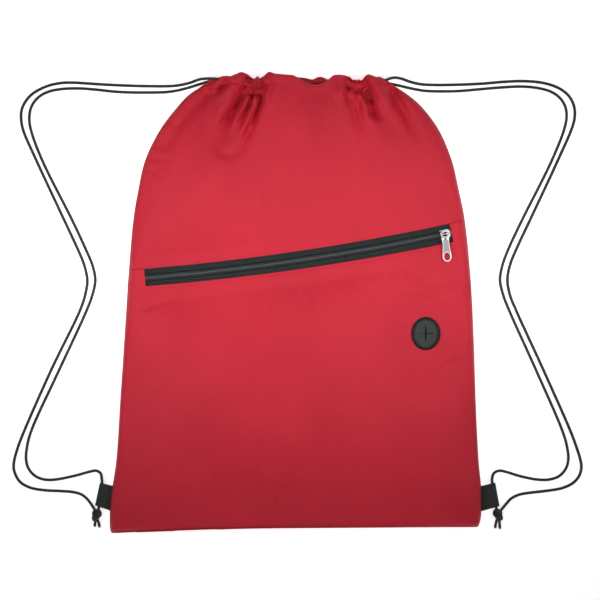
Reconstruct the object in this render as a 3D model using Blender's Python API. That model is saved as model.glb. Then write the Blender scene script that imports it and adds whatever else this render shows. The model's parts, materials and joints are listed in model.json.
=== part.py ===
"""Drawstring backpack lying on its back: two cloth shells sewn at the edge, a front pocket behind a
curved coil zip, a rubber cable port, cord tunnels at the mouth, and one knotted cord on each side.

Frame: metres, +Z up. The back panel lies on z = 0 under the origin, +Y points to the mouth and +X to
the wearer's left. Sizes below are in millimetres and are scaled by MM where a mesh is made.
"""

import math

import bmesh
import bpy
from mathutils import Matrix, Vector

MM = 0.001
GAP = 0.3

# Bag outline, seen from the front: each side from the bottom corner up to the mouth.
LEFT_SIDE = [
    (-170.0, -213.2), (-172.6, -210.6), (-173.2, -187.0), (-167.7, -146.0), (-164.0, -90.0),
    (-160.3, -35.0), (-156.6, 21.0), (-151.9, 76.0), (-140.8, 132.0), (-127.0, 160.0),
    (-110.3, 182.0), (-87.2, 200.0), (-56.7, 211.0),
]
RIGHT_SIDE = [
    (164.0, -207.4), (168.2, -204.0), (170.0, -173.0), (168.0, -146.0), (165.3, -90.0),
    (163.5, -35.0), (160.7, 21.0), (155.2, 76.0), (143.0, 132.0), (131.0, 160.0),
    (114.5, 182.0), (87.6, 200.0), (66.4, 211.0),
]
BOTTOM_EDGE = [(-125.0, -211.4), (-40.0, -209.4), (50.0, -208.8), (120.0, -208.1)]
HALF_WIDTH = 170.0
HALF_HEIGHT = 212.0
OUTLINE_STEPS = 3

# Cloth shells: the back is a shallow tray and the front a low dome, meeting at the edge seam.
CLOTH = 0.8
SEAM_Z = 4.7
FRONT_Z = 17.6
BACK_RIM = 8.0
FRONT_RIM = 12.0
RIM_STEPS = 4
MOUTH_Y = 192.0

# Cord tunnels sewn to the two edges of the mouth; each one holds two cords side by side.
TUNNEL_X = (-70.0, 76.0)
TUNNEL_Y = (MOUTH_Y + GAP, 213.4)
TUNNEL_HEIGHT = 5.5
TUNNEL_CORNER = 2.2
BORE_Y = 205.0
BORE_WIDTH = 6.4
BORE_HEIGHT = 3.3
BACK_BORE_Z = TUNNEL_HEIGHT / 2
FRONT_BORE_Z = 17.0 - TUNNEL_HEIGHT / 2

# Zip: sewn on a shallow arc whose centre lies far up the bag. S runs along it from its middle.
ARC_CENTRE = (-323.5, 2235.0)
ARC_RADIUS = 2220.0
ARC_MIDDLE = math.radians(8.4)
WINDOW_HALF = 8.6
WINDOW_S = (-142.3, 143.6)
TAPE_Z = (15.4, 16.0)
TAPE_S = 146.0
TAPE_OUTER = 14.0
COIL_Z = (16.3, 18.1)
COIL_INNER = 0.55
COIL_OUTER = 3.1
STOP_LENGTH = 1.8
STOP_GAP = 0.5

# Slider, its crown and its pull, in the slider's own frame: x along the zip and y across it.
SLIDER_S = 137.4
SLIDER_HALF_LENGTH = 5.2
SLIDER_SHOULDER = 4.75
SLIDER_TAIL = 3.9
TOP_WING_Z = (18.4, 19.4)
BOTTOM_WING_Z = (14.0, 15.1)
POST_HALF = 0.25
CROWN_RADIUS = 0.6
CROWN_LEG_X = 3.9
PIVOT_Z = 22.0
PULL_YAW = math.radians(-6.0)
PULL_DROOP = math.radians(7.6)
PULL_THICKNESS = 1.2
PULL_PROFILE = [(1.3, 2.2), (3.0, 3.4), (5.0, 3.6), (10.0, 3.4), (16.0, 3.9)]
PULL_EYE_Y = 20.8
KNUCKLE_OUTER = 1.8
KNUCKLE_BORE = 1.15
KNUCKLE_HALF = 2.4

# Pocket behind the zip: a lining sheet with a standing edge just above the zip.
LINING_Z = 11.0
LINING_SHEET = 0.6
LINING_INSET = 3.4
LINING_WALL = 12.0

# Cable port: an oval rubber grommet with a cross slit, and the washer behind the cloth.
PORT_CENTRE = (118.6, -28.7)
PORT_FLANGE = (13.4, 15.25)
PORT_BARREL = (10.0, 11.8)
PORT_LIP = 1.5
PORT_SLIT = (13.6, 15.6)
SLIT_WIDTH = 0.6

# Webbing tabs in the side seams: (root top, fold top, root bottom, fold bottom).
TAB_LEFT = [(-168.0, -170.6), (-183.1, -167.2), (-170.0, -194.0), (-187.6, -187.9)]
TAB_RIGHT = [(167.0, -170.8), (183.6, -167.1), (168.0, -194.0), (187.6, -188.7)]
WEBBING = 1.2
TAB_LOOP = 3.4
TAB_ROOT_Z = 5.0
TAB_FOLD_Z = 3.2

# Cords: 2.5 mm round braid. Each side's cord runs from its knot through both tunnels and back.
CORD = 2.5
CORD_STEP = 3 * CORD
LEFT_CORD_Y = BORE_Y + 1.4
RIGHT_CORD_Y = BORE_Y - 1.4
EXIT_LEFT_X = TUNNEL_X[0] - 2.0
EXIT_RIGHT_X = TUNNEL_X[1] + 2.0
KNOT_LEFT = (-185.7, -195.6, 4.0)
KNOT_RIGHT = (185.7, -195.2, 4.0)
KNOT_SIZE = (4.0, 4.6, 3.4)

LEFT_OUTER = [
    (-72.3, 206.4, 14.25), (-80.0, 206.9, 13.6), (-90.0, 206.5, 9.8), (-100.0, 203.4, 4.8),
    (-113.0, 201.0, 1.9), (-136.0, 200.6, 1.3), (-166.7, 201.5, 1.3), (-187.1, 202.6, 1.3),
    (-205.6, 203.8, 1.3), (-217.6, 203.7, 1.3), (-228.7, 201.7, 1.3), (-238.0, 198.1, 1.3),
    (-246.3, 193.0, 1.3), (-251.8, 186.9, 1.3), (-255.6, 179.0, 1.3), (-256.2, 170.0, 1.3),
    (-254.2, 159.6, 1.3), (-242.1, 131.8, 1.3), (-216.2, 76.3, 1.3), (-203.3, 48.6, 1.3),
    (-197.7, 34.7, 1.3), (-194.8, 20.8, 1.3), (-196.8, 6.9, 1.3), (-201.4, -6.9, 1.3),
    (-228.2, -62.4, 1.3), (-252.8, -117.9, 1.3), (-258.3, -131.8, 1.3), (-262.4, -145.7, 1.3),
    (-263.1, -153.0, 1.3), (-261.3, -160.0, 1.3), (-256.5, -167.0, 1.3), (-247.2, -171.9, 1.3),
    (-233.4, -174.2, 1.3), (-219.5, -175.3, 1.3), (-208.4, -177.3, 1.3), (-200.6, -180.6, 1.3),
    (-194.8, -186.4, 1.9), (-190.0, -191.6, 3.4),
]
LEFT_INNER = [
    (-72.3, 206.4, 2.75), (-80.7, 205.2, 2.4), (-90.0, 202.6, 1.6), (-103.8, 198.4, 1.3),
    (-117.7, 195.5, 1.3), (-136.2, 194.7, 1.3), (-166.7, 195.3, 1.3), (-187.1, 197.4, 1.3),
    (-202.7, 198.5, 1.3), (-217.6, 198.0, 1.3), (-228.7, 196.1, 1.3), (-236.6, 192.8, 1.3),
    (-242.8, 187.6, 1.3), (-247.2, 180.0, 1.3), (-248.6, 170.0, 1.3), (-246.7, 158.6, 1.3),
    (-236.6, 131.8, 1.3), (-208.8, 76.3, 1.3), (-195.9, 48.6, 1.3), (-190.1, 34.7, 1.3),
    (-187.4, 20.8, 1.3), (-190.1, 6.9, 1.3), (-195.2, -6.9, 1.3), (-220.8, -62.4, 1.3),
    (-246.3, -117.9, 1.3), (-250.3, -131.8, 1.3), (-251.6, -145.0, 1.3), (-249.5, -153.6, 1.3),
    (-244.0, -160.3, 1.3), (-236.0, -163.9, 1.3), (-226.0, -164.4, 1.3), (-205.6, -160.5, 1.3),
    (-193.6, -157.2, 1.4), (-186.6, -156.0, 1.9), (-181.8, -158.2, 2.6), (-180.0, -163.0, 3.1),
    (-180.4, -169.0, 3.2), (-182.3, -180.0, 3.2), (-184.1, -190.7, 3.4),
]
RIGHT_OUTER = [
    (78.3, 203.6, 14.25), (86.0, 204.0, 13.4), (93.0, 205.4, 9.8), (103.4, 203.8, 4.8),
    (114.5, 202.2, 1.9), (132.0, 201.7, 1.3), (169.0, 202.8, 1.3), (191.2, 204.6, 1.3),
    (208.8, 205.3, 1.3), (224.5, 204.2, 1.3), (236.6, 201.3, 1.3), (246.2, 196.6, 1.3),
    (252.8, 190.3, 1.3), (256.7, 182.0, 1.3), (257.4, 173.0, 1.3), (255.2, 163.0, 1.3),
    (241.7, 131.8, 1.3), (215.8, 76.3, 1.3), (202.8, 48.6, 1.3), (197.3, 34.7, 1.3),
    (194.9, 20.8, 1.3), (197.3, 6.9, 1.3), (202.8, -6.9, 1.3), (228.2, -62.4, 1.3),
    (252.8, -117.9, 1.3), (258.1, -131.8, 1.3), (262.5, -145.7, 1.3), (263.5, -153.0, 1.3),
    (261.6, -160.4, 1.3), (256.0, -167.2, 1.3), (245.8, -172.1, 1.3), (231.9, -174.6, 1.3),
    (218.1, -176.2, 1.3), (206.0, -178.2, 1.3), (198.2, -182.0, 1.3), (193.4, -187.2, 2.0),
    (189.9, -191.2, 3.4),
]
RIGHT_INNER = [
    (78.3, 203.6, 2.75), (86.0, 202.8, 2.4), (95.0, 201.0, 1.6), (106.1, 198.4, 1.3),
    (118.0, 196.3, 1.3), (133.0, 195.8, 1.3), (150.5, 196.1, 1.3), (169.0, 197.7, 1.3),
    (192.2, 199.6, 1.3), (208.8, 200.2, 1.3), (224.5, 198.6, 1.3), (235.8, 195.2, 1.3),
    (243.4, 189.8, 1.3), (248.4, 182.0, 1.3), (249.8, 173.0, 1.3), (247.8, 161.5, 1.3),
    (236.1, 131.8, 1.3), (208.4, 76.3, 1.3), (195.4, 48.6, 1.3), (190.3, 34.7, 1.3),
    (188.0, 20.8, 1.3), (191.0, 6.9, 1.3), (196.3, -6.9, 1.3), (221.3, -62.4, 1.3),
    (245.4, -117.9, 1.3), (249.7, -131.8, 1.3), (251.4, -145.0, 1.3), (249.1, -154.0, 1.3),
    (243.0, -160.9, 1.3), (233.8, -164.2, 1.3), (222.7, -164.2, 1.3), (207.0, -161.2, 1.3),
    (194.6, -157.4, 1.4), (187.4, -156.0, 1.9), (182.4, -158.2, 2.6), (180.6, -163.0, 3.1),
    (180.9, -169.0, 3.2), (182.6, -180.0, 3.2), (184.4, -190.3, 3.4),
]


def clear_scene():
    for leftover in list(bpy.data.objects):
        bpy.data.objects.remove(leftover)


def material(name, colour, roughness, metallic=0.0):
    """A Principled material in the sub-part's own colour."""
    made = bpy.data.materials.new(name)
    made.use_nodes = True
    shader = made.node_tree.nodes["Principled BSDF"]
    shader.inputs["Base Color"].default_value = (*colour, 1.0)
    shader.inputs["Roughness"].default_value = roughness
    shader.inputs["Metallic"].default_value = metallic
    return made


RED_CLOTH = (0.55, 0.020, 0.035)
BLACK_TAPE = (0.018, 0.020, 0.020)
BLACK_NYLON = (0.012, 0.014, 0.015)
BLACK_RUBBER = (0.020, 0.022, 0.022)
SILVER = (0.72, 0.72, 0.74)


def cloth_material(name):
    return material(name, RED_CLOTH, 0.6)


# Points and curves ------------------------------------------------------------------------------


def smooth_points(points, steps, closed=False):
    """Centripetal Catmull-Rom through the points, with this many steps between neighbours."""
    spots = [Vector(point) for point in points]
    count = len(spots)
    if closed:
        around = [spots[-1], *spots, spots[0], spots[1]]
        spans = count
    else:
        around = [2 * spots[0] - spots[1], *spots, 2 * spots[-1] - spots[-2]]
        spans = count - 1
    result = []
    for span in range(spans):
        a, b, c, d = around[span : span + 4]
        knots = [0.0]
        for first, second in ((a, b), (b, c), (c, d)):
            knots.append(knots[-1] + math.sqrt((second - first).length))
        for step in range(steps):
            t = knots[1] + (knots[2] - knots[1]) * step / steps
            ab = a.lerp(b, (t - knots[0]) / (knots[1] - knots[0]))
            bc = b.lerp(c, (t - knots[1]) / (knots[2] - knots[1]))
            cd = c.lerp(d, (t - knots[2]) / (knots[3] - knots[2]))
            abc = ab.lerp(bc, (t - knots[0]) / (knots[2] - knots[0]))
            bcd = bc.lerp(cd, (t - knots[1]) / (knots[3] - knots[1]))
            result.append(abc.lerp(bcd, (t - knots[1]) / (knots[2] - knots[1])))
    if not closed:
        result.append(spots[-1])
    return result


def even_points(points, spacing):
    """The same line with its points spread evenly, about this far apart."""
    lengths = [0.0]
    for first, second in zip(points, points[1:]):
        lengths.append(lengths[-1] + (second - first).length)
    count = max(2, round(lengths[-1] / spacing))
    result = []
    place = 0
    for number in range(count + 1):
        wanted = lengths[-1] * number / count
        while place < len(points) - 2 and lengths[place + 1] < wanted:
            place += 1
        share = (wanted - lengths[place]) / (lengths[place + 1] - lengths[place])
        result.append(points[place].lerp(points[place + 1], min(1.0, share)))
    return result


def bag_outline():
    """The closed outline, anticlockwise from the left end of the bottom edge."""
    around = [*BOTTOM_EDGE, *RIGHT_SIDE, *reversed(LEFT_SIDE)]
    return smooth_points(around, OUTLINE_STEPS, closed=True)


def inset(outline, distance):
    """The outline drawn in towards its centre by this much on every side."""
    return [
        Vector((p.x * (1 - distance / HALF_WIDTH), p.y * (1 - distance / HALF_HEIGHT)))
        for p in outline
    ]


def arc_point(s, across=0.0):
    """A point on the zip's arc; across is positive towards the mouth."""
    angle = ARC_MIDDLE + s / ARC_RADIUS
    radius = ARC_RADIUS - across
    return Vector((ARC_CENTRE[0] + radius * math.sin(angle), ARC_CENTRE[1] - radius * math.cos(angle)))


def arc_line(s_range, across, steps):
    first, last = s_range
    return [arc_point(first + (last - first) * step / steps, across) for step in range(steps + 1)]


def oval(centre, radii, steps):
    turns = [2 * math.pi * step / steps for step in range(steps)]
    return [
        Vector((centre[0] + radii[0] * math.cos(turn), centre[1] + radii[1] * math.sin(turn)))
        for turn in turns
    ]


# Meshes -----------------------------------------------------------------------------------------


def finish_mesh(name, bm, surface=None, smooth_angle=35.0):
    """Turns the bmesh, drawn in millimetres, into an object in metres."""
    bmesh.ops.recalc_face_normals(bm, faces=bm.faces)
    bmesh.ops.scale(bm, vec=(MM, MM, MM), verts=bm.verts)
    mesh = bpy.data.meshes.new(name)
    bm.to_mesh(mesh)
    bm.free()
    mesh.shade_smooth()
    mesh.set_sharp_from_angle(angle=math.radians(smooth_angle))
    made = bpy.data.objects.new(name, mesh)
    bpy.context.scene.collection.objects.link(made)
    if surface:
        mesh.materials.append(surface)
    return made


def loft(rings, loop=False, caps=False):
    """A skin over rings with equal numbers of points; the last ring can join the first."""
    bm = bmesh.new()
    rows = [[bm.verts.new(point) for point in ring] for ring in rings]
    count = len(rows[0])
    pairs = list(zip(rows, rows[1:]))
    if loop:
        pairs.append((rows[-1], rows[0]))
    for lower, upper in pairs:
        for place in range(count):
            after = (place + 1) % count
            bm.faces.new((lower[place], lower[after], upper[after], upper[place]))
    if caps:
        bm.faces.new(rows[0])
        bm.faces.new(rows[-1])
    return bm


def at_height(outline, z):
    return [(point[0], point[1], z) for point in outline]


def prism(name, outline, z_range, surface=None):
    """A straight slab with this outline."""
    rings = [at_height(outline, z) for z in z_range]
    return finish_mesh(name, loft(rings, caps=True), surface)


def arc_bar(name, across, z_range, s_range, steps, surface=None):
    """A bar with a rectangular section that follows the zip's arc."""
    rings = []
    for step in range(steps + 1):
        s = s_range[0] + (s_range[1] - s_range[0]) * step / steps
        inner = arc_point(s, across[0])
        outer = arc_point(s, across[1])
        low, high = z_range
        rings.append([(*inner, low), (*outer, low), (*outer, high), (*inner, high)])
    return finish_mesh(name, loft(rings, caps=True), surface)


def as_cutter(made):
    made.hide_render = True
    made.display_type = "WIRE"
    return made


def combine(made, other, operation):
    """Adds the Boolean; the other object stays as a hidden helper."""
    as_cutter(other)
    modifier = made.modifiers.new(other.name, "BOOLEAN")
    modifier.operation = operation
    modifier.object = other


def tube(name, points, diameter, surface):
    """A cord as a round tube with closed ends."""
    curve = bpy.data.curves.new(name, "CURVE")
    curve.dimensions = "3D"
    curve.bevel_depth = diameter / 2 * MM
    curve.bevel_resolution = 2
    curve.use_fill_caps = True
    spline = curve.splines.new("POLY")
    spline.points.add(len(points) - 1)
    for spot, point in zip(spline.points, points):
        spot.co = (*(point * MM), 1.0)
    curve.materials.append(surface)
    made = bpy.data.objects.new(name, curve)
    bpy.context.scene.collection.objects.link(made)
    return made


def place_in(made, parent, location, turn=None):
    """Parents the object to an empty, at this place in the empty's own frame."""
    made.parent = parent
    made.location = location
    if turn:
        made.rotation_euler = turn


def empty(name, location):
    made = bpy.data.objects.new(name, None)
    made.location = location
    bpy.context.scene.collection.objects.link(made)
    return made


# Cloth shells -----------------------------------------------------------------------------------


def dished_sheet(name, seam_z, flat_z, rim, surface):
    """A cloth shell: from the seam its rim follows a quarter ellipse up or down to a flat."""
    outline = bag_outline()
    rise = flat_z - seam_z
    cloth = math.copysign(CLOTH, rise)
    outer = []
    inner = []
    for step in range(RIM_STEPS + 1):
        turn = math.pi / 2 * step / RIM_STEPS
        out_by = rim * (1 - math.cos(turn))
        in_by = rim - (rim - CLOTH) * math.cos(turn)
        outer.append(at_height(inset(outline, out_by), seam_z + rise * math.sin(turn)))
        inner.append(at_height(inset(outline, in_by), seam_z + (rise - cloth) * math.sin(turn)))
    return finish_mesh(name, loft([*reversed(outer), *inner], caps=True), surface)


def cut_mouth(shell):
    """Opens the shell along the straight edge where the cord tunnel is sewn on."""
    beyond = [(-200, MOUTH_Y), (200, MOUTH_Y), (200, 230), (-200, 230)]
    combine(shell, prism(shell.name + "_mouth_cutter", beyond, (-5, 30)), "DIFFERENCE")


def cut_tab_slots(shell):
    """Lets the tabs' roots through the edge seam."""
    for side, corners in (("left", TAB_LEFT), ("right", TAB_RIGHT)):
        root_top, _, root_bottom, _ = corners
        away = math.copysign(14, root_top[0])
        slot = [
            (root_top[0] - away / 4, root_top[1] + 1.5),
            (root_top[0] + away, root_top[1] + 1.5),
            (root_bottom[0] + away, root_bottom[1] - 1.5),
            (root_bottom[0] - away / 4, root_bottom[1] - 1.5),
        ]
        height = (TAB_ROOT_Z - WEBBING - GAP, TAB_ROOT_Z + WEBBING + GAP)
        combine(shell, prism(f"{shell.name}_{side}_slot_cutter", slot, height), "DIFFERENCE")


def back_panel():
    shell = dished_sheet("back_panel", SEAM_Z, 0.0, BACK_RIM, cloth_material("back_cloth"))
    cut_mouth(shell)
    cut_tab_slots(shell)


def front_upper_panel():
    shell = dished_sheet(
        "front_upper_panel", SEAM_Z + GAP, FRONT_Z, FRONT_RIM, cloth_material("upper_cloth")
    )
    cut_mouth(shell)
    below = [*arc_line((-190, 190), WINDOW_HALF, 16), Vector((220, -240)), Vector((-220, -240))]
    combine(shell, prism("upper_seam_cutter", below, (-5, 30)), "DIFFERENCE")


def front_pocket_panel():
    shell = dished_sheet(
        "front_pocket_panel", SEAM_Z + GAP, FRONT_Z, FRONT_RIM, cloth_material("pocket_cloth")
    )
    seam = arc_line((-190, 190), WINDOW_HALF - GAP, 16)
    above = [*seam, Vector((220, 240)), Vector((-220, 240))]
    combine(shell, prism("pocket_seam_cutter", above, (-5, 30)), "DIFFERENCE")
    window = arc_bar("window_cutter", (-WINDOW_HALF, WINDOW_HALF + 2), (10, 30), WINDOW_S, 16)
    combine(shell, window, "DIFFERENCE")
    hole = [radius + GAP for radius in PORT_BARREL]
    combine(shell, prism("port_cutter", oval(PORT_CENTRE, hole, 28), (10, 30)), "DIFFERENCE")
    cut_tab_slots(shell)


def pocket_lining():
    """A flat sheet behind the pocket, with an edge that stands up to the zip's upper tape."""
    sheet = prism(
        "pocket_lining",
        inset(bag_outline(), LINING_INSET),
        (LINING_Z, LINING_Z + LINING_SHEET),
        cloth_material("lining_cloth"),
    )
    beyond = [*arc_line((-190, 190), LINING_WALL, 16), Vector((220, 240)), Vector((-220, 240))]
    combine(sheet, prism("lining_cutter", beyond, (5, 20)), "DIFFERENCE")
    wall = arc_bar(
        "lining_wall",
        (LINING_WALL - LINING_SHEET, LINING_WALL),
        (LINING_Z + 0.1, TAPE_Z[0] - GAP),
        (-TAPE_S, TAPE_S),
        16,
    )
    combine(sheet, wall, "UNION")


def tunnel_section(x, half_y, half_z, corner, centre):
    """A rounded rectangle in the YZ plane, four points to a corner."""
    section = []
    for quarter in range(4):
        side_y = 1 if quarter in (0, 3) else -1
        side_z = 1 if quarter in (0, 1) else -1
        for step in range(4):
            turn = math.pi / 2 * (quarter + step / 3)
            y = centre[0] + side_y * (half_y - corner) + corner * math.cos(turn)
            z = centre[1] + side_z * (half_z - corner) + corner * math.sin(turn)
            section.append((x, y, z))
    return section


def cord_tunnel(name, bore_z):
    """A folded strip of the cloth along one edge of the mouth, open at both ends."""
    half_y = (TUNNEL_Y[1] - TUNNEL_Y[0]) / 2
    centre = (TUNNEL_Y[0] + half_y, bore_z)
    rings = []
    for x in TUNNEL_X:
        rings.append(tunnel_section(x, half_y, TUNNEL_HEIGHT / 2, TUNNEL_CORNER, centre))
    for x in reversed(TUNNEL_X):
        rings.append(tunnel_section(x, BORE_WIDTH / 2, BORE_HEIGHT / 2, 1.5, (BORE_Y, bore_z)))
    return finish_mesh(name, loft(rings, loop=True), cloth_material(name + "_cloth"))


# Zip --------------------------------------------------------------------------------------------


def zip_halves():
    """Two tapes under the cloth, and the two coil rows sewn along their meeting edges."""
    for side, sign in (("upper", 1), ("lower", -1)):
        tape_across = (sign * COIL_INNER, sign * TAPE_OUTER)
        tape = material(f"zip_tape_{side}", BLACK_TAPE, 0.8)
        arc_bar(f"zip_tape_{side}", tape_across, TAPE_Z, (-TAPE_S, TAPE_S), 24, tape)
        coil_s = (WINDOW_S[0] + GAP, WINDOW_S[1] - GAP)
        coil = material(f"zip_coil_{side}", BLACK_NYLON, 0.45)
        coil_across = (sign * COIL_INNER, sign * COIL_OUTER)
        arc_bar(f"zip_coil_{side}", coil_across, COIL_Z, coil_s, 24, coil)


def zip_stop(name, first_s):
    """A small metal staple under the tapes that the slider's lower wing runs against."""
    s_range = (first_s, first_s + STOP_LENGTH)
    height = (TAPE_Z[0] - 1.6, TAPE_Z[0] - GAP)
    arc_bar(name, (-2.6, 2.6), height, s_range, 2, material(name, SILVER, 0.35, 1.0))


def slider_outline(inset_by=0.0):
    """Shield shape: broad shoulders at the nose, where the two coils part, and a narrow tail."""
    nose = SLIDER_HALF_LENGTH - inset_by
    shoulder = SLIDER_SHOULDER - inset_by
    tail = SLIDER_TAIL - inset_by
    side = [(-nose, tail - 0.8), (-nose + 0.8, tail), (1.0, tail), (2.6, shoulder), (nose - 1.2, shoulder)]
    side.append((nose, shoulder - 1.2))
    return [*side, *[(x, -y) for x, y in reversed(side)]]


def slider_place(made, axis_empty, z=0.0, yaw=0.0):
    """Puts a piece at the slider's place on the arc, in the frame of the travel axis."""
    spot = arc_point(SLIDER_S)
    away = ((spot.x - ARC_CENTRE[0]) * MM, (spot.y - ARC_CENTRE[1]) * MM, z * MM)
    place_in(made, axis_empty, away, (0, 0, ARC_MIDDLE + SLIDER_S / ARC_RADIUS + yaw))


def slider_body(axis_empty):
    """Two wings joined by the thin post that runs between the coils, with flanges at the sides."""
    metal = material("slider_body", SILVER, 0.3, 1.0)
    body = prism("slider_body", slider_outline(), TOP_WING_Z, metal)
    wing = prism("slider_lower_wing", slider_outline(0.3), BOTTOM_WING_Z)
    post_x = (-1.5, 2.5)
    post_outline = [
        (post_x[0], -POST_HALF), (post_x[1], -POST_HALF), (post_x[1], POST_HALF), (post_x[0], POST_HALF)
    ]
    post = prism("slider_post", post_outline, (BOTTOM_WING_Z[1] - 0.2, TOP_WING_Z[0] + 0.2))
    helpers = [wing, post]
    for name, sign in (("slider_flange_a", 1), ("slider_flange_b", -1)):
        flange = [(-4.4, sign * 3.5), (1.2, sign * 3.5), (1.2, sign * 3.9), (-4.4, sign * 3.9)]
        helpers.append(prism(name, flange, (TAPE_Z[1] + 0.4, TOP_WING_Z[0] + 0.2)))
    for helper in helpers:
        slider_place(helper, axis_empty)
        combine(body, helper, "UNION")
    slider_place(body, axis_empty)


def slider_crown(axis_empty):
    """A bridge along the slider that the pull hangs on."""
    foot = TOP_WING_Z[1] + GAP
    shoulder = CROWN_LEG_X - 0.9
    route = [
        (-CROWN_LEG_X, 0, foot), (-CROWN_LEG_X, 0, PIVOT_Z - 0.9), (-shoulder, 0, PIVOT_Z),
        (shoulder, 0, PIVOT_Z), (CROWN_LEG_X, 0, PIVOT_Z - 0.9), (CROWN_LEG_X, 0, foot),
    ]
    metal = material("slider_crown", SILVER, 0.25, 1.0)
    crown = tube("slider_crown", smooth_points(route, 4), 2 * CROWN_RADIUS, metal)
    slider_place(crown, axis_empty)


def pull_plate_outline():
    """From the knuckle the plate widens to a round end about its eye."""
    left = [(-half, -y) for y, half in PULL_PROFILE]
    right = [(half, -y) for y, half in reversed(PULL_PROFILE)]
    end = []
    for step in range(13):
        turn = math.pi * step / 12
        end.append((-4.5 * math.cos(turn), -PULL_EYE_Y - 5.2 * math.sin(turn)))
    return [*left, *end, *right]


def slider_pull(axis_empty):
    """The pull, drawn flat about its pivot and laid down onto the pocket panel."""
    half = PULL_THICKNESS / 2
    metal = material("slider_pull", SILVER, 0.28, 1.0)
    pull = prism("slider_pull", pull_plate_outline(), (-half, half), metal)
    knuckle_rings = []
    for x, radius in (
        (-KNUCKLE_HALF, KNUCKLE_OUTER), (KNUCKLE_HALF, KNUCKLE_OUTER),
        (KNUCKLE_HALF, KNUCKLE_BORE), (-KNUCKLE_HALF, KNUCKLE_BORE),
    ):
        knuckle_rings.append([(x, point.x, point.y) for point in oval((0, 0), (radius, radius), 20)])
    knuckle = finish_mesh("pull_knuckle", loft(knuckle_rings, loop=True))
    eye = prism("pull_eye_cutter", oval((0, -PULL_EYE_Y), (2.75, 3.7), 20), (-2, 2))
    recess = prism("pull_recess_cutter", [(-2.3, -17), (2.3, -17), (2.0, -6), (-2.0, -6)], (0.3, 2))
    slot = prism("pull_slot_cutter", [(-0.8, -4.6), (0.8, -4.6), (0.8, -3.0), (-0.8, -3.0)], (-2, 2))
    pivot = empty("pull_pivot", (0, 0, 0))
    slider_place(pivot, axis_empty, PIVOT_Z, PULL_YAW)
    for helper, operation in (
        (knuckle, "UNION"), (eye, "DIFFERENCE"), (recess, "DIFFERENCE"), (slot, "DIFFERENCE")
    ):
        place_in(helper, pivot, (0, 0, 0), (PULL_DROOP, 0, 0))
        combine(pull, helper, operation)
    place_in(pull, pivot, (0, 0, 0), (PULL_DROOP, 0, 0))


# Cable port -------------------------------------------------------------------------------------


def cable_port():
    """The oval grommet: a raised lip round a thin web with a cross slit, and a barrel below."""
    rubber = material("cable_port", BLACK_RUBBER, 0.6)
    steps = 36
    lip_z = FRONT_Z + GAP
    web_z = (FRONT_Z - 0.6, FRONT_Z + 0.9)
    bottom = TAPE_Z[0] - 0.4
    flange = oval(PORT_CENTRE, PORT_FLANGE, steps)
    lip = oval(PORT_CENTRE, [r - 0.6 for r in PORT_FLANGE], steps)
    well = oval(PORT_CENTRE, [r - 2.6 for r in PORT_FLANGE], steps)
    barrel = oval(PORT_CENTRE, PORT_BARREL, steps)
    bore = oval(PORT_CENTRE, [r - 1.4 for r in PORT_BARREL], steps)
    rings = [
        at_height(well, web_z[1]), at_height(well, lip_z + PORT_LIP), at_height(lip, lip_z + PORT_LIP),
        at_height(flange, lip_z + 0.9), at_height(flange, lip_z), at_height(barrel, lip_z),
        at_height(barrel, bottom), at_height(bore, bottom), at_height(bore, web_z[0]),
    ]
    port = finish_mesh("cable_port", loft(rings, caps=True), rubber)
    for name, half in (("slit_across", (PORT_SLIT[0] / 2, SLIT_WIDTH / 2)),
                       ("slit_along", (SLIT_WIDTH / 2, PORT_SLIT[1] / 2))):
        corners = [(-1, -1), (1, -1), (1, 1), (-1, 1)]
        outline = [
            (PORT_CENTRE[0] + x * half[0], PORT_CENTRE[1] + y * half[1]) for x, y in corners
        ]
        combine(port, prism(name, outline, (10, 30)), "DIFFERENCE")


def cable_port_washer():
    """The ring that clamps the cloth against the grommet from inside the pocket."""
    steps = 36
    height = (TAPE_Z[0] - 0.3, FRONT_Z - CLOTH - GAP)
    outer = oval(PORT_CENTRE, [r - 0.4 for r in PORT_FLANGE], steps)
    inner = oval(PORT_CENTRE, [r + GAP for r in PORT_BARREL], steps)
    rings = [at_height(outer, height[0]), at_height(outer, height[1])]
    rings += [at_height(inner, height[1]), at_height(inner, height[0])]
    surface = material("cable_port_washer", BLACK_RUBBER, 0.65)
    finish_mesh("cable_port_washer", loft(rings, loop=True), surface)


# Tabs, cords and knots --------------------------------------------------------------------------


def tab_section():
    """The folded webbing in side view: (share of the way from root to fold, height), outer then inner."""
    half_loop = TAB_LOOP / 2
    outer = []
    inner = []
    for share in (0.0, 0.32, 0.45, 0.58, 0.8):
        ease = min(1.0, max(0.0, (share - 0.32) / 0.26))
        ease = ease * ease * (3 - 2 * ease)
        middle = TAB_ROOT_Z + (TAB_FOLD_Z - TAB_ROOT_Z) * ease
        outer.append((share, middle, WEBBING + half_loop * ease))
        inner.append((share, middle, half_loop * ease))
    return outer, inner


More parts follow.
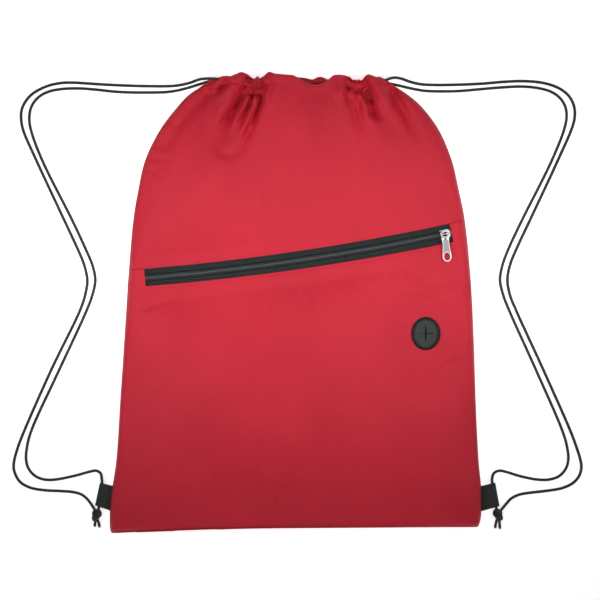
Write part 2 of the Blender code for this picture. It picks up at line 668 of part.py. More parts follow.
def webbing_tab(name, corners):
    """A strip folded in two, its ends sewn into the side seam and its fold round the cord."""
    root_top, fold_top, root_bottom, fold_bottom = [Vector(corner) for corner in corners]
    outer, inner = tab_section()
    profile = [(share, middle + half) for share, middle, half in outer]
    profile += [(0.8 + 0.2 * math.sin(t), TAB_FOLD_Z + (WEBBING + TAB_LOOP / 2) * math.cos(t))
                for t in (math.pi / 4, math.pi / 2, 3 * math.pi / 4)]
    profile += [(share, middle - half) for share, middle, half in reversed(outer)]
    gap_half = 0.15
    profile.append((0.0, TAB_ROOT_Z - gap_half))
    profile += [(share, middle - max(gap_half, half)) for share, middle, half in inner[1:]]
    profile += [(0.8 + 0.12 * math.sin(t), TAB_FOLD_Z - TAB_LOOP / 2 * math.cos(t))
                for t in (math.pi / 4, math.pi / 2, 3 * math.pi / 4)]
    profile += [(share, middle + max(gap_half, half)) for share, middle, half in reversed(inner[1:])]
    profile.append((0.0, TAB_ROOT_Z + gap_half))
    rings = []
    for along in (0.0, 0.25, 0.5, 0.75, 1.0):
        root = root_top.lerp(root_bottom, along)
        fold = fold_top.lerp(fold_bottom, along)
        rings.append([(*root.lerp(fold, share), z) for share, z in profile])
    finish_mesh(name, loft(rings, caps=True), material(name, BLACK_NYLON, 0.75))


def tunnel_cord(name, y, exit_x, turn_x):
    """The hidden stretch of one cord: in through the front tunnel, round, and out through the back."""
    radius = (FRONT_BORE_Z - BACK_BORE_Z) / 2
    middle = BACK_BORE_Z + radius
    sign = math.copysign(1, turn_x - exit_x)
    steps = round(abs(turn_x - exit_x) / CORD_STEP)
    route = [Vector((exit_x + (turn_x - exit_x) * step / steps, y, FRONT_BORE_Z)) for step in range(steps)]
    for step in range(9):
        turn = math.pi * step / 8
        x = turn_x + sign * radius * math.sin(turn)
        route.append(Vector((x, y, middle + radius * math.cos(turn))))
    route += [Vector((point.x, y, BACK_BORE_Z)) for point in reversed(route[:steps])]
    tube(name, route, CORD, material(name, BLACK_NYLON, 0.6))


def free_cord(name, route):
    points = even_points(smooth_points(route, 12), CORD_STEP)
    tube(name, points, CORD, material(name, BLACK_NYLON, 0.6))


def knot(name, centre, tail_ends):
    """Both ends of a cord tied in one overhand knot, with two short tails."""
    bm = bmesh.new()
    bmesh.ops.create_uvsphere(bm, u_segments=16, v_segments=10, radius=1.0)
    bmesh.ops.scale(bm, vec=KNOT_SIZE, verts=bm.verts)
    bmesh.ops.translate(bm, vec=centre, verts=bm.verts)
    body = finish_mesh(name, bm, material(name, BLACK_NYLON, 0.65))
    for number, end in enumerate(tail_ends):
        start = Vector((centre[0] + 0.4 * (end[0] - centre[0]), centre[1] - 1.0, centre[2] - 0.6))
        axis = Vector(end) - start
        tail = bmesh.new()
        bmesh.ops.create_cone(
            tail, cap_ends=True, segments=10, radius1=CORD / 2, radius2=CORD / 2, depth=axis.length
        )
        turn = axis.to_track_quat("Z", "Y").to_matrix().to_4x4()
        placed = Matrix.Translation(start + axis / 2) @ turn
        bmesh.ops.transform(tail, matrix=placed, verts=tail.verts)
        combine(body, finish_mesh(f"{name}_tail_{number}", tail), "UNION")


def main():
    clear_scene()
    back_panel()
    front_upper_panel()
    front_pocket_panel()
    pocket_lining()
    cord_tunnel("front_cord_tunnel", FRONT_BORE_Z)
    cord_tunnel("back_cord_tunnel", BACK_BORE_Z)
    zip_halves()
    zip_stop("zip_bottom_stop", WINDOW_S[0] - STOP_LENGTH)
    zip_stop("zip_top_stop", WINDOW_S[1] - STOP_GAP)
    travel_axis = empty("zip_travel_axis", (ARC_CENTRE[0] * MM, ARC_CENTRE[1] * MM, 0))
    slider_body(travel_axis)
    slider_crown(travel_axis)
    slider_pull(travel_axis)
    cable_port()
    cable_port_washer()
    webbing_tab("tab_left", TAB_LEFT)
    webbing_tab("tab_right", TAB_RIGHT)
    tunnel_cord("cord_left_in_tunnels", LEFT_CORD_Y, EXIT_LEFT_X, TUNNEL_X[1] + 1.0)
    tunnel_cord("cord_right_in_tunnels", RIGHT_CORD_Y, EXIT_RIGHT_X, TUNNEL_X[0] - 1.0)
    free_cord("cord_left_outer", LEFT_OUTER)
    free_cord("cord_left_inner", LEFT_INNER)
    free_cord("cord_right_outer", RIGHT_OUTER)
    free_cord("cord_right_inner", RIGHT_INNER)
    knot("knot_left", KNOT_LEFT, [(-187.9, -207.7, 1.4), (-183.1, -208.1, 1.4)])
    knot("knot_right", KNOT_RIGHT, [(183.8, -207.7, 1.4), (187.7, -209.5, 1.4)])


main()
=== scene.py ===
"""The drawstring backpack's looks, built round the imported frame: cloth, zip, slider, port and cords.

Lengths in this script are in millimetres and become metres where a mesh is made (MM).
"""

import json
import math

import bmesh
import bpy
import numpy as np
from mathutils import Matrix, Vector, noise


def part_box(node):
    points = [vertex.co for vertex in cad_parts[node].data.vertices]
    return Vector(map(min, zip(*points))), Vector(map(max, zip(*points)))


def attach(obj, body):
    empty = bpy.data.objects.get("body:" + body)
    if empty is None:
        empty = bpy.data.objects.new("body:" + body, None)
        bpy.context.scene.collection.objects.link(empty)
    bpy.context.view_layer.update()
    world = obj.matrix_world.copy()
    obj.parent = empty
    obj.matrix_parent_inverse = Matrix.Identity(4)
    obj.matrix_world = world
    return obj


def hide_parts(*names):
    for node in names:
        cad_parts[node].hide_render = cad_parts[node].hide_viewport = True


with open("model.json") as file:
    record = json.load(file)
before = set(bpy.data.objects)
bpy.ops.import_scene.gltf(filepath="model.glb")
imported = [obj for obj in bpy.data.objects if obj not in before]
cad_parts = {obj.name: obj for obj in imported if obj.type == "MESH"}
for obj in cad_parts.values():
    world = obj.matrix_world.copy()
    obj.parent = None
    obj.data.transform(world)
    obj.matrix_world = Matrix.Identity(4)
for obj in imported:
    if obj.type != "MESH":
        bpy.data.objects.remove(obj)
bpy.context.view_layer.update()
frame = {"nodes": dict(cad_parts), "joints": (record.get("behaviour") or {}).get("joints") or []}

MM = 0.001


def box_mm(node):
    """A CAD node's lowest and highest corners, in millimetres."""
    low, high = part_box(node)
    return Vector(low) / MM, Vector(high) / MM


def joint(name):
    return next(made for made in frame["joints"] if made["name"] == name)


# ---- Sizes taken from the frame ----

FRONT_Z = box_mm("front_pocket_panel")[1].z
SEAM_Z = box_mm("back_panel")[1].z
TUNNEL_LOW, TUNNEL_HIGH = box_mm("front_cord_tunnel")
BACK_TUNNEL_TOP = box_mm("back_cord_tunnel")[1].z
TAPE_TOP = box_mm("zip_tape_upper")[1].z
COIL_TOP = box_mm("zip_coil_upper")[1].z
ARC_X, ARC_Y = [joint("zip_travel")["pos_m"][k] / MM for k in (0, 1)]
PIVOT = Vector(joint("pull_lift")["pos_m"]) / MM
PORT_LOW, PORT_HIGH = box_mm("cable_port")
PORT = (PORT_LOW + PORT_HIGH) / 2
ARC_RADIUS = math.hypot(PIVOT.x - ARC_X, PIVOT.y - ARC_Y)
ARC_MIDDLE = math.radians(8.4)
SLIDER_S = (math.atan2(PIVOT.x - ARC_X, ARC_Y - PIVOT.y) - ARC_MIDDLE) * ARC_RADIUS

# Bag outline and hems, as in the CAD outline but with the mouth drawn as the cloth's edge.
LEFT_SIDE = [
    (-171.4, -213.8), (-172.9, -212.2), (-173.3, -187.0), (-167.7, -146.0), (-164.0, -90.0),
    (-160.3, -35.0), (-156.6, 21.0), (-151.9, 76.0), (-147.3, 104.0), (-140.8, 132.0),
    (-127.0, 160.0), (-110.3, 182.0), (-100.1, 192.6), (-87.2, 200.2), (-75.2, 205.0),
]
RIGHT_SIDE = [
    (166.2, -208.2), (168.0, -206.8), (170.2, -198.5), (170.4, -173.0), (168.0, -146.0), (165.3, -90.0),
    (163.5, -35.0), (160.7, 21.0), (155.2, 76.0), (149.6, 104.0), (143.0, 132.0),
    (131.0, 160.0), (114.5, 182.0), (101.5, 193.0), (89.5, 200.6), (80.4, 205.8),
]
BOTTOM_EDGE = [
    (-171.4, -213.8), (-125.0, -211.7), (-40.0, -209.6), (50.0, -208.9), (120.0, -208.4), (166.2, -208.2)
]
FRONT_HEM = [
    (-75.2, 205.0), (-70.5, 208.6), (-64.5, 209.3), (-59.5, 208.6), (-55.5, 211.6), (-52.5, 212.9),
    (-48.3, 211.9), (-44.0, 209.6), (-40.5, 206.9), (-38.0, 206.9), (-36.6, 208.9), (-34.6, 207.1),
    (-31.0, 208.3), (-28.8, 210.8), (-26.4, 213.1), (-20.0, 211.4), (-10.0, 210.6), (-3.5, 209.9),
    (1.5, 207.2), (7.4, 203.4), (14.0, 201.3), (20.5, 201.4), (25.0, 202.9), (29.0, 206.2),
    (33.4, 209.9), (39.0, 210.5), (46.0, 208.9), (49.4, 207.8), (51.5, 205.4), (53.2, 206.3),
    (55.0, 205.2), (57.0, 206.1), (58.8, 204.2), (61.8, 208.1), (65.2, 210.8), (69.2, 209.8),
    (72.8, 208.4), (76.6, 208.6), (80.4, 205.8),
]
BACK_HEM = [
    (-75.2, 205.0), (-66.0, 206.6), (-50.0, 208.4), (-36.0, 205.4), (-22.0, 208.4), (-6.0, 208.2),
    (1.1, 207.9), (8.0, 207.2), (14.5, 205.9), (19.5, 208.3), (23.6, 207.9), (28.5, 205.9),
    (36.0, 207.4), (46.0, 206.6), (55.0, 203.4), (62.0, 206.6), (70.0, 207.6), (80.4, 205.8),
]

# The zip's window: half its width, and where it starts and ends along the zip's arc.
WINDOW_HALF = 8.6
WINDOW_S = (-142.3, 143.6)
# Cloth: its thickness, the tunnels' depths and the mouth's middle and half widths.
CLOTH = 0.5
HEM_ROLL = (TUNNEL_HIGH.z - TUNNEL_LOW.z) / 2
TUNNEL_DEPTH = 13.0
BACK_TUNNEL_DEPTH = 18.5
LOWEST_FRONT = 6.8
MOUTH_X = 3
MOUTH_HALF = 79
BACK_MOUTH_HALF = 78
# How far in from the seams and from the hem the cloth's painted shade, with a little rubbing, reaches.
SEAM_SHADE_AND_WEAR = 2.2
HEM_SHADE_AND_WEAR = 0.8
# Cords: their diameter, their height on the floor and in each tunnel, and how far they dip in the tunnels.
CORD = 2.8
CORD_ON_FLOOR = 1.3
FRONT_CORD_Z = 14.25
BACK_CORD_Z = 2.75
FRONT_DIP = 7.2
BACK_DIP = 2.6

RED = (0.62, 0.006, 0.027)


# ---- Curves and grids ----


def smooth_points(points, steps):
    """Centripetal Catmull-Rom through the points, with this many steps between neighbours."""
    spots = [Vector(point) for point in points]
    around = [2 * spots[0] - spots[1], *spots, 2 * spots[-1] - spots[-2]]
    result = []
    for span in range(len(spots) - 1):
        a, b, c, d = around[span : span + 4]
        knots = [0.0]
        for first, second in ((a, b), (b, c), (c, d)):
            knots.append(knots[-1] + math.sqrt((second - first).length))
        for step in range(steps):
            t = knots[1] + (knots[2] - knots[1]) * step / steps
            ab = a.lerp(b, (t - knots[0]) / (knots[1] - knots[0]))
            bc = b.lerp(c, (t - knots[1]) / (knots[2] - knots[1]))
            cd = c.lerp(d, (t - knots[2]) / (knots[3] - knots[2]))
            abc = ab.lerp(bc, (t - knots[0]) / (knots[2] - knots[0]))
            bcd = bc.lerp(cd, (t - knots[1]) / (knots[3] - knots[1]))
            result.append(abc.lerp(bcd, (t - knots[1]) / (knots[2] - knots[1])))
    return [*result, spots[-1]]


def lengths_along(line):
    steps = np.linalg.norm(np.diff(line, axis=0), axis=1)
    return np.concatenate([[0.0], np.cumsum(steps)])


def at_shares(line, shares):
    """Points at these shares of the line's length."""
    line = np.asarray(line, float)
    along = lengths_along(line)
    wanted = np.asarray(shares) * along[-1]
    return np.stack([np.interp(wanted, along, line[:, k]) for k in range(line.shape[1])], axis=1)


def dense(points, steps=12):
    return np.array([tuple(point) for point in smooth_points(points, steps)])


def smooth_path(points, steps, spacing):
    """A smooth line through the points, as points at this even spacing."""
    line = dense(points, steps)
    count = max(2, round(lengths_along(line)[-1] / spacing))
    return at_shares(line, np.linspace(0, 1, count + 1))


def oval(x, y, across, along, count):
    """The points of an oval round (x, y), anticlockwise from its right end."""
    turns = [2 * math.pi * step / count for step in range(count)]
    return [(x + across * math.cos(turn), y + along * math.sin(turn)) for turn in turns]


LEFT_LINE = dense(LEFT_SIDE)
RIGHT_LINE = dense(RIGHT_SIDE)
BOTTOM_LINE = dense(BOTTOM_EDGE)
FRONT_HEM_LINE = dense(FRONT_HEM, 6)
BACK_HEM_LINE = dense(BACK_HEM, 8)
SEAM_LINE = np.concatenate([LEFT_LINE[::-1], BOTTOM_LINE, RIGHT_LINE])


def arc_point(s, across=0.0):
    """A point on the zip's arc; across is positive towards the mouth."""
    angle = ARC_MIDDLE + s / ARC_RADIUS
    radius = ARC_RADIUS - across
    return np.array([ARC_X + radius * math.sin(angle), ARC_Y - radius * math.cos(angle)])


def arc_place(x, y):
    """(s, across) of points in the plane."""
    away = np.hypot(x - ARC_X, y - ARC_Y)
    return (np.arctan2(x - ARC_X, ARC_Y - y) - ARC_MIDDLE) * ARC_RADIUS, ARC_RADIUS - away


def arc_end(side_line, across):
    """Where the arc at this offset meets a side of the outline."""
    _, offsets = arc_place(side_line[:, 0], side_line[:, 1])
    place = int(np.argmax(offsets > across))
    share = (across - offsets[place - 1]) / (offsets[place] - offsets[place - 1])
    spot = side_line[place - 1] * (1 - share) + side_line[place] * share
    return float(arc_place(spot[0], spot[1])[0]), place, spot


def side_stretch(side_line, across_from, across_to):
    """The part of a side between two arcs; None stands for the side's own end."""
    first, last, head, tail = 0, len(side_line), [], []
    if across_from is not None:
        _, first, spot = arc_end(side_line, across_from)
        head = [spot]
    if across_to is not None:
        _, last, spot = arc_end(side_line, across_to)
        tail = [spot]
    return np.array([*head, *side_line[first:last], *tail])


def patch(bottom, top, left, right, u_shares, v_shares):
    """A Coons patch: rows of plane points between four boundary lines."""
    b = at_shares(bottom, u_shares)
    t = at_shares(top, u_shares)
    le = at_shares(left, v_shares)
    r = at_shares(right, v_shares)
    u = np.asarray(u_shares)[None, :, None]
    v = np.asarray(v_shares)[:, None, None]
    across = (1 - v) * b[None] + v * t[None]
    along = (1 - u) * le[:, None] + u * r[:, None]
    corners = (1 - u) * (1 - v) * b[0] + u * (1 - v) * b[-1] + (1 - u) * v * t[0] + u * v * t[-1]
    return across + along - corners


def soft_edges(count, pull=0.55):
    """Shares from 0 to 1, closer together at both ends."""
    t = np.linspace(0, 1, count)
    return (1 - pull) * t + pull * (0.5 - 0.5 * np.cos(math.pi * t))


def edge_rows(near, count, height):
    """Shares that start with these distances from an edge and go on evenly to the far side."""
    first = [distance / height for distance in near]
    rest = np.linspace(first[-1], 1, count + 1)[1:]
    return np.array([*first, *rest])


def smooth_step(value):
    t = np.clip(value, 0, 1)
    return t * t * (3 - 2 * t)


def line_distance(x, y, line):
    """Distance of each point to a polyline, and the share of its length at the nearest place."""
    line = np.asarray(line, float)
    along = lengths_along(line)
    best = np.full(x.shape, 1e9)
    share = np.zeros(x.shape)
    for k in range(len(line) - 1):
        step = line[k + 1] - line[k]
        size = step @ step
        if size == 0:
            continue
        t = np.clip(((x - line[k, 0]) * step[0] + (y - line[k, 1]) * step[1]) / size, 0, 1)
        gap = np.hypot(x - line[k, 0] - t * step[0], y - line[k, 1] - t * step[1])
        nearer = gap < best
        best = np.where(nearer, gap, best)
        share = np.where(nearer, (along[k] + t * math.sqrt(size)) / along[-1], share)
    return best, share


def waves(x, y, size, seed):
    """Smooth noise between about -1 and 1, with features of this size in millimetres."""
    flat = zip(np.ravel(x) / size, np.ravel(y) / size)
    values = [noise.noise(Vector((a, b, seed))) for a, b in flat]
    return np.array(values).reshape(np.shape(x)) * 1.6


# ---- Meshes ----


def add_object(name, mesh, material, body="bag"):
    made = bpy.data.objects.new(name, mesh)
    bpy.context.scene.collection.objects.link(made)
    mesh.materials.clear()
    mesh.materials.append(material)
    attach(made, body)
    return made


def grid_mesh(name, points, uv=None, keep=None):
    """A sheet from rows of points in millimetres. keep says which quads are there."""
    points = np.asarray(points, float)
    rows, columns = points.shape[:2]
    faces = []
    corners = []
    for i in range(rows - 1):
        for j in range(columns - 1):
            if keep is None or keep[i, j]:
                corners.append(((i, j), (i, j + 1), (i + 1, j + 1), (i + 1, j)))
                faces.append(tuple(row * columns + column for row, column in corners[-1]))
    mesh = bpy.data.meshes.new(name)
    mesh.from_pydata((points.reshape(-1, 3) * MM).tolist(), [], faces)
    if uv is not None:
        layer = mesh.uv_layers.new(name="cloth")
        flat = [value for face in corners for corner in face for value in uv[corner]]
        layer.data.foreach_set("uv", flat)
    mesh.shade_smooth()
    if keep is not None:
        bm = bmesh.new()
        bm.from_mesh(mesh)
        bmesh.ops.delete(bm, geom=[v for v in bm.verts if not v.link_faces], context="VERTS")
        bm.to_mesh(mesh)
        bm.free()
    return mesh


def thicken(made, thickness, offset=-1.0):
    """Gives a sheet its thickness, with crisp cut edges."""
    solid = made.modifiers.new("thickness", "SOLIDIFY")
    solid.thickness = thickness * MM
    solid.offset = offset
    apply_modifiers(made)
    made.data.set_sharp_from_angle(angle=math.radians(72))


def apply_modifiers(made):
    """Replaces the object's mesh by its evaluated one and removes its modifiers."""
    graph = bpy.context.evaluated_depsgraph_get()
    fresh = bpy.data.meshes.new_from_object(made.evaluated_get(graph), depsgraph=graph)
    made.modifiers.clear()
    made.data = fresh


def ring_quads(sides, rings, turned=False, closed=False):
    """Quads between neighbouring rings of this many points. turned faces them the other way."""
    faces = []
    for k in range(rings if closed else rings - 1):
        here, onward = k * sides, (k + 1) % rings * sides
        for j in range(sides):
            after = (j + 1) % sides
            quad = (here + j, here + after, onward + after, onward + j)
            faces.append((quad[0], *quad[:0:-1]) if turned else quad)
    return faces


def ring_face(sides, ring, turned=False):
    """The flat face that closes one ring."""
    face = tuple(range(ring * sides, (ring + 1) * sides))
    return face[::-1] if turned else face


def joined_mesh(name, parts):
    """One mesh from several (points, faces) pairs in millimetres."""
    points = []
    faces = []
    for some_points, some_faces in parts:
        start = len(points)
        points += [tuple(point) for point in some_points]
        faces += [tuple(start + k for k in face) for face in some_faces]
    mesh = bpy.data.meshes.new(name)
    mesh.from_pydata([(x * MM, y * MM, z * MM) for x, y, z in points], [], faces)
    mesh.shade_smooth()
    return mesh


def frames_along(path):
    """Tangent and two steady normals at each point of a path."""
    path = np.asarray(path, float)
    tangents = np.gradient(path, axis=0)
    tangents /= np.linalg.norm(tangents, axis=1)[:, None]
    side = np.cross(tangents[0], (0.0, 0.0, 1.0))
    if np.linalg.norm(side) < 0.1:
        side = np.cross(tangents[0], (0.0, 1.0, 0.0))
    side /= np.linalg.norm(side)
    sides = [side]
    for tangent in tangents[1:]:
        side = sides[-1] - tangent * (sides[-1] @ tangent)
        sides.append(side / np.linalg.norm(side))
    sides = np.array(sides)
    return tangents, sides, np.cross(tangents, sides)


def tube_parts(path, radius, sides=16, cap=True, wobble=0.0):
    """(points, faces) of a round tube; radius is one number or one for each point."""
    path = np.asarray(path, float)
    _, first, second = frames_along(path)
    radii = np.broadcast_to(np.asarray(radius, float), (len(path),))
    turns = np.arange(sides) * 2 * math.pi / sides
    along = lengths_along(path)
    points = []
    for k, centre in enumerate(path):
        swell = 1 + wobble * np.sin(4 * turns + along[k] * 1.9) * np.sin(4 * turns - along[k] * 1.9)
        ring = radii[k] * swell
        outward = np.cos(turns)[:, None] * first[k] + np.sin(turns)[:, None] * second[k]
        points.append(centre + ring[:, None] * outward)
    faces = ring_quads(sides, len(path))
    if cap:
        faces += [ring_face(sides, 0, turned=True), ring_face(sides, len(path) - 1)]
    return np.concatenate(points), faces


# ---- Materials ----


class Nodes:
    """Small helper that adds linked shader nodes to one material."""

    def __init__(self, name):
        self.material = bpy.data.materials.new(name)
        self.material.use_nodes = True
        self.tree = self.material.node_tree
        self.shader = self.tree.nodes["Principled BSDF"]

    def add(self, kind, **values):
        node = self.tree.nodes.new(kind)
        for key, value in values.items():
            setattr(node, key, value)
        return node

    def link(self, source, target):
        self.tree.links.new(source, target)

    def math(self, operation, first, second=None):
        node = self.add("ShaderNodeMath", operation=operation)
        for place, value in enumerate((first, second)):
            if value is None:
                continue
            if isinstance(value, (int, float)):
                node.inputs[place].default_value = value
            else:
                self.link(value, node.inputs[place])
        return node.outputs[0]

    def scale_add(self, source, factor, addend):
        node = self.math("MULTIPLY_ADD", source, factor).node
        node.inputs[2].default_value = addend
        return node.outputs[0]

    def mix(self, factor, first, second):
        node = self.add("ShaderNodeMix", data_type="RGBA")
        for place, value in ((0, factor), (6, first), (7, second)):
            if isinstance(value, (int, float)):
                node.inputs[place].default_value = value
            elif isinstance(value, tuple):
                node.inputs[place].default_value = (*value, 1.0)
            else:
                self.link(value, node.inputs[place])
        return node.outputs[2]

    def noise(self, vector, scale, detail=2.0, stretch=None):
        if stretch:
            vector = self.scaled(vector, stretch)
        node = self.add("ShaderNodeTexNoise")
        node.inputs["Scale"].default_value = scale
        node.inputs["Detail"].default_value = detail
        self.link(vector, node.inputs["Vector"])
        return node.outputs["Fac"]

    def scaled(self, vector, factors):
        node = self.add("ShaderNodeMapping")
        node.inputs["Scale"].default_value = factors
        self.link(vector, node.inputs["Vector"])
        return node.outputs["Vector"]

    def bump(self, height, strength, distance):
        node = self.add("ShaderNodeBump")
        node.inputs["Strength"].default_value = strength
        node.inputs["Distance"].default_value = distance
        self.link(height, node.inputs["Height"])
        return node.outputs["Normal"]

    def edge(self):
        return self.add("ShaderNodeAttribute", attribute_name="edge").outputs["Fac"]

    def set(self, **values):
        for key, value in values.items():
            socket = self.shader.inputs[key.replace("_", " ").title().replace("Ior", "IOR")]
            if isinstance(value, (int, float)):
                socket.default_value = value
            elif isinstance(value, tuple):
                socket.default_value = (*value, 1.0)
            else:
                self.link(value, socket)
        return self.material


def tinted(colour, factor):
    return tuple(factor * channel for channel in colour)


def uv_vector(nodes):
    return nodes.add("ShaderNodeTexCoord").outputs["UV"]


def object_vector(nodes):
    return nodes.add("ShaderNodeTexCoord").outputs["Object"]


def thread_wave(nodes, vector, direction, pitch):
    """A sine across the cloth with one crest per thread; the pitch is in metres."""
    split = nodes.add("ShaderNodeSeparateXYZ")
    nodes.link(vector, split.inputs[0])
    return nodes.math("SINE", nodes.math("MULTIPLY", split.outputs[direction], 2 * math.pi / pitch))


def woven_cloth(name, colour, pitch, vector_kind, sheen=0.05, roughness=0.62, depth=0.00006, edge_shade_and_wear=0.0):
    """Plain weave: warp and weft crests, uneven threads, slow shade changes and edges darkened by painted
    shade with a little rubbing.
    """
    nodes = Nodes(name)
    vector = vector_kind(nodes)
    warp = thread_wave(nodes, vector, 0, pitch)
    weft = thread_wave(nodes, vector, 1, pitch)
    crossing = nodes.math("MULTIPLY", warp, weft)
    slub_x = nodes.noise(vector, 1.0, 3.0, stretch=(60.0, 1800.0, 1.0))
    slub_y = nodes.noise(vector, 1.0, 3.0, stretch=(1800.0, 60.0, 1.0))
    slubs = nodes.math("ADD", slub_x, slub_y)
    cloudy = nodes.noise(vector, 14.0, 4.0)
    darker = tinted(colour, 0.80)
    paler = tuple(min(1.0, 1.10 * channel + 0.012) for channel in colour)
    base = nodes.mix(cloudy, darker, paler)
    thread_shade = nodes.scale_add(slubs, 0.35, 0.65)
    shaded = nodes.add("ShaderNodeMix", data_type="RGBA", blend_type="MULTIPLY")
    shaded.inputs[0].default_value = 0.55
    nodes.link(base, shaded.inputs[6])
    nodes.link(thread_shade, shaded.inputs[7])
    colour_out = shaded.outputs[2]
    # Painted shade: the cloth is painted darker near its seams and hem, where the rolled edges fall into
    # shade, broken up by noise like rubbing.
    if edge_shade_and_wear:
        edge = nodes.edge()
        rough = nodes.noise(vector, 420.0, 4.0)
        edge_shade_and_wear_mask = nodes.math("MULTIPLY", nodes.math("MULTIPLY", edge, rough), edge_shade_and_wear)
        colour_out = nodes.mix(edge_shade_and_wear_mask, colour_out, tinted(colour, 0.3))
    rough_out = nodes.scale_add(cloudy, 0.12, roughness - 0.06)
    height = nodes.math("ADD", crossing, nodes.math("MULTIPLY", slubs, 0.8))
    normal = nodes.bump(height, 0.35, depth)
    nodes.set(base_color=colour_out, roughness=rough_out, normal=normal, specular_ior_level=0.3)
    return nodes.set(sheen_weight=sheen, sheen_roughness=0.45)


def ribbed_tape(name, colour, pitch, direction, vector_kind):
    """Dense black weave with ribs that run along the tape."""
    nodes = Nodes(name)
    vector = vector_kind(nodes)
    ribs = thread_wave(nodes, vector, direction, pitch)
    threads = thread_wave(nodes, vector, 1 - direction, pitch * 0.55)
    fuzz = nodes.noise(vector, 900.0, 3.0)
    tone = nodes.scale_add(ribs, 0.25, 0.5)
    shade = nodes.math("ADD", tone, nodes.math("MULTIPLY", fuzz, 0.4))
    dark = tinted(colour, 0.55)
    pale = tinted(colour, 1.9)
    colour_out = nodes.mix(shade, dark, pale)
    height = nodes.math("ADD", ribs, nodes.math("MULTIPLY", threads, 0.5))
    normal = nodes.bump(height, 0.5, 0.0001)
    rough_out = nodes.scale_add(fuzz, 0.2, 0.6)
    nodes.set(base_color=colour_out, roughness=rough_out, normal=normal, specular_ior_level=0.25)
    return nodes.set(sheen_weight=0.05, sheen_roughness=0.5)


def braided_cord(name, colour):
    """Diamond braid from the tube's own UV map: u goes round, v runs along in metres."""
    nodes = Nodes(name)
    vector = uv_vector(nodes)
    split = nodes.add("ShaderNodeSeparateXYZ")
    nodes.link(vector, split.inputs[0])
    round_turn = nodes.math("MULTIPLY", split.outputs[0], 2 * math.pi * 8)
    along = nodes.math("MULTIPLY", split.outputs[1], 2 * math.pi / 0.0032)
    left = nodes.math("SINE", nodes.math("ADD", round_turn, along))
    right = nodes.math("SINE", nodes.math("SUBTRACT", round_turn, along))
    strands = nodes.math("MULTIPLY", left, right)
    fuzz = nodes.noise(object_vector(nodes), 2500.0, 3.0)
    tone = nodes.scale_add(strands, 0.3, 0.35)
    shade = nodes.math("ADD", tone, nodes.math("MULTIPLY", fuzz, 0.35))
    colour_out = nodes.mix(shade, tinted(colour, 0.5), tinted(colour, 1.8))
    normal = nodes.bump(nodes.math("ADD", strands, nodes.math("MULTIPLY", fuzz, 0.5)), 0.6, 0.00012)
    rough_out = nodes.scale_add(fuzz, 0.2, 0.5)
    nodes.set(base_color=colour_out, roughness=rough_out, normal=normal)
    return nodes.set(sheen_weight=0.2, sheen_roughness=0.5)


def moulded_rubber(name, colour, shine):
    nodes = Nodes(name)
    vector = object_vector(nodes)
    grain = nodes.noise(vector, 2200.0, 4.0)
    smudge = nodes.noise(vector, 160.0, 3.0)
    colour_out = nodes.mix(smudge, tinted(colour, 0.8), tinted(colour, 1.45))
    rough_out = nodes.scale_add(smudge, 0.22, 0.42)
    normal = nodes.bump(grain, 0.25, 0.00005)
    return nodes.set(base_color=colour_out, roughness=rough_out, normal=normal, specular_ior_level=shine)


def nylon_coil(name, colour):
    """Smooth nylon, painted much paler along the zip's middle line, where the teeth hook together: a painted
    highlight.
    """
    nodes = Nodes(name)
    vector = object_vector(nodes)
    streak = nodes.noise(vector, 1400.0, 3.0)
    streaked = nodes.mix(streak, tinted(colour, 0.6), tinted(colour, 1.5))
    # Painted highlight: the teeth are painted paler along the zip's middle line.
    painted_highlight = nodes.edge()
    colour_out = nodes.mix(painted_highlight, streaked, tinted(colour, 7.0))
    rough_out = nodes.scale_add(streak, 0.2, 0.28)
    return nodes.set(base_color=colour_out, roughness=rough_out, normal=nodes.bump(streak, 0.15, 0.00003))


def plated_metal(name, dark, pale):
    """Nickel-plated die casting: soft scratches, a faint cast skin and slightly dulled patches."""
    nodes = Nodes(name)
    vector = object_vector(nodes)
    patches = nodes.noise(vector, 420.0, 3.0)
    scratches = nodes.noise(vector, 1.0, 2.0, stretch=(6000.0, 500.0, 700.0))
    colour_out = nodes.mix(patches, dark, pale)
    mixed = nodes.math("ADD", nodes.math("MULTIPLY", patches, 0.16), nodes.math("MULTIPLY", scratches, 0.08))
    rough_out = nodes.math("ADD", mixed, 0.24)
    height = nodes.math("ADD", patches, nodes.math("MULTIPLY", scratches, 0.4))
    normal = nodes.bump(height, 0.12, 0.00003)
    return nodes.set(base_color=colour_out, metallic=1.0, roughness=rough_out, normal=normal)


# ---- Camera, light and floor ----


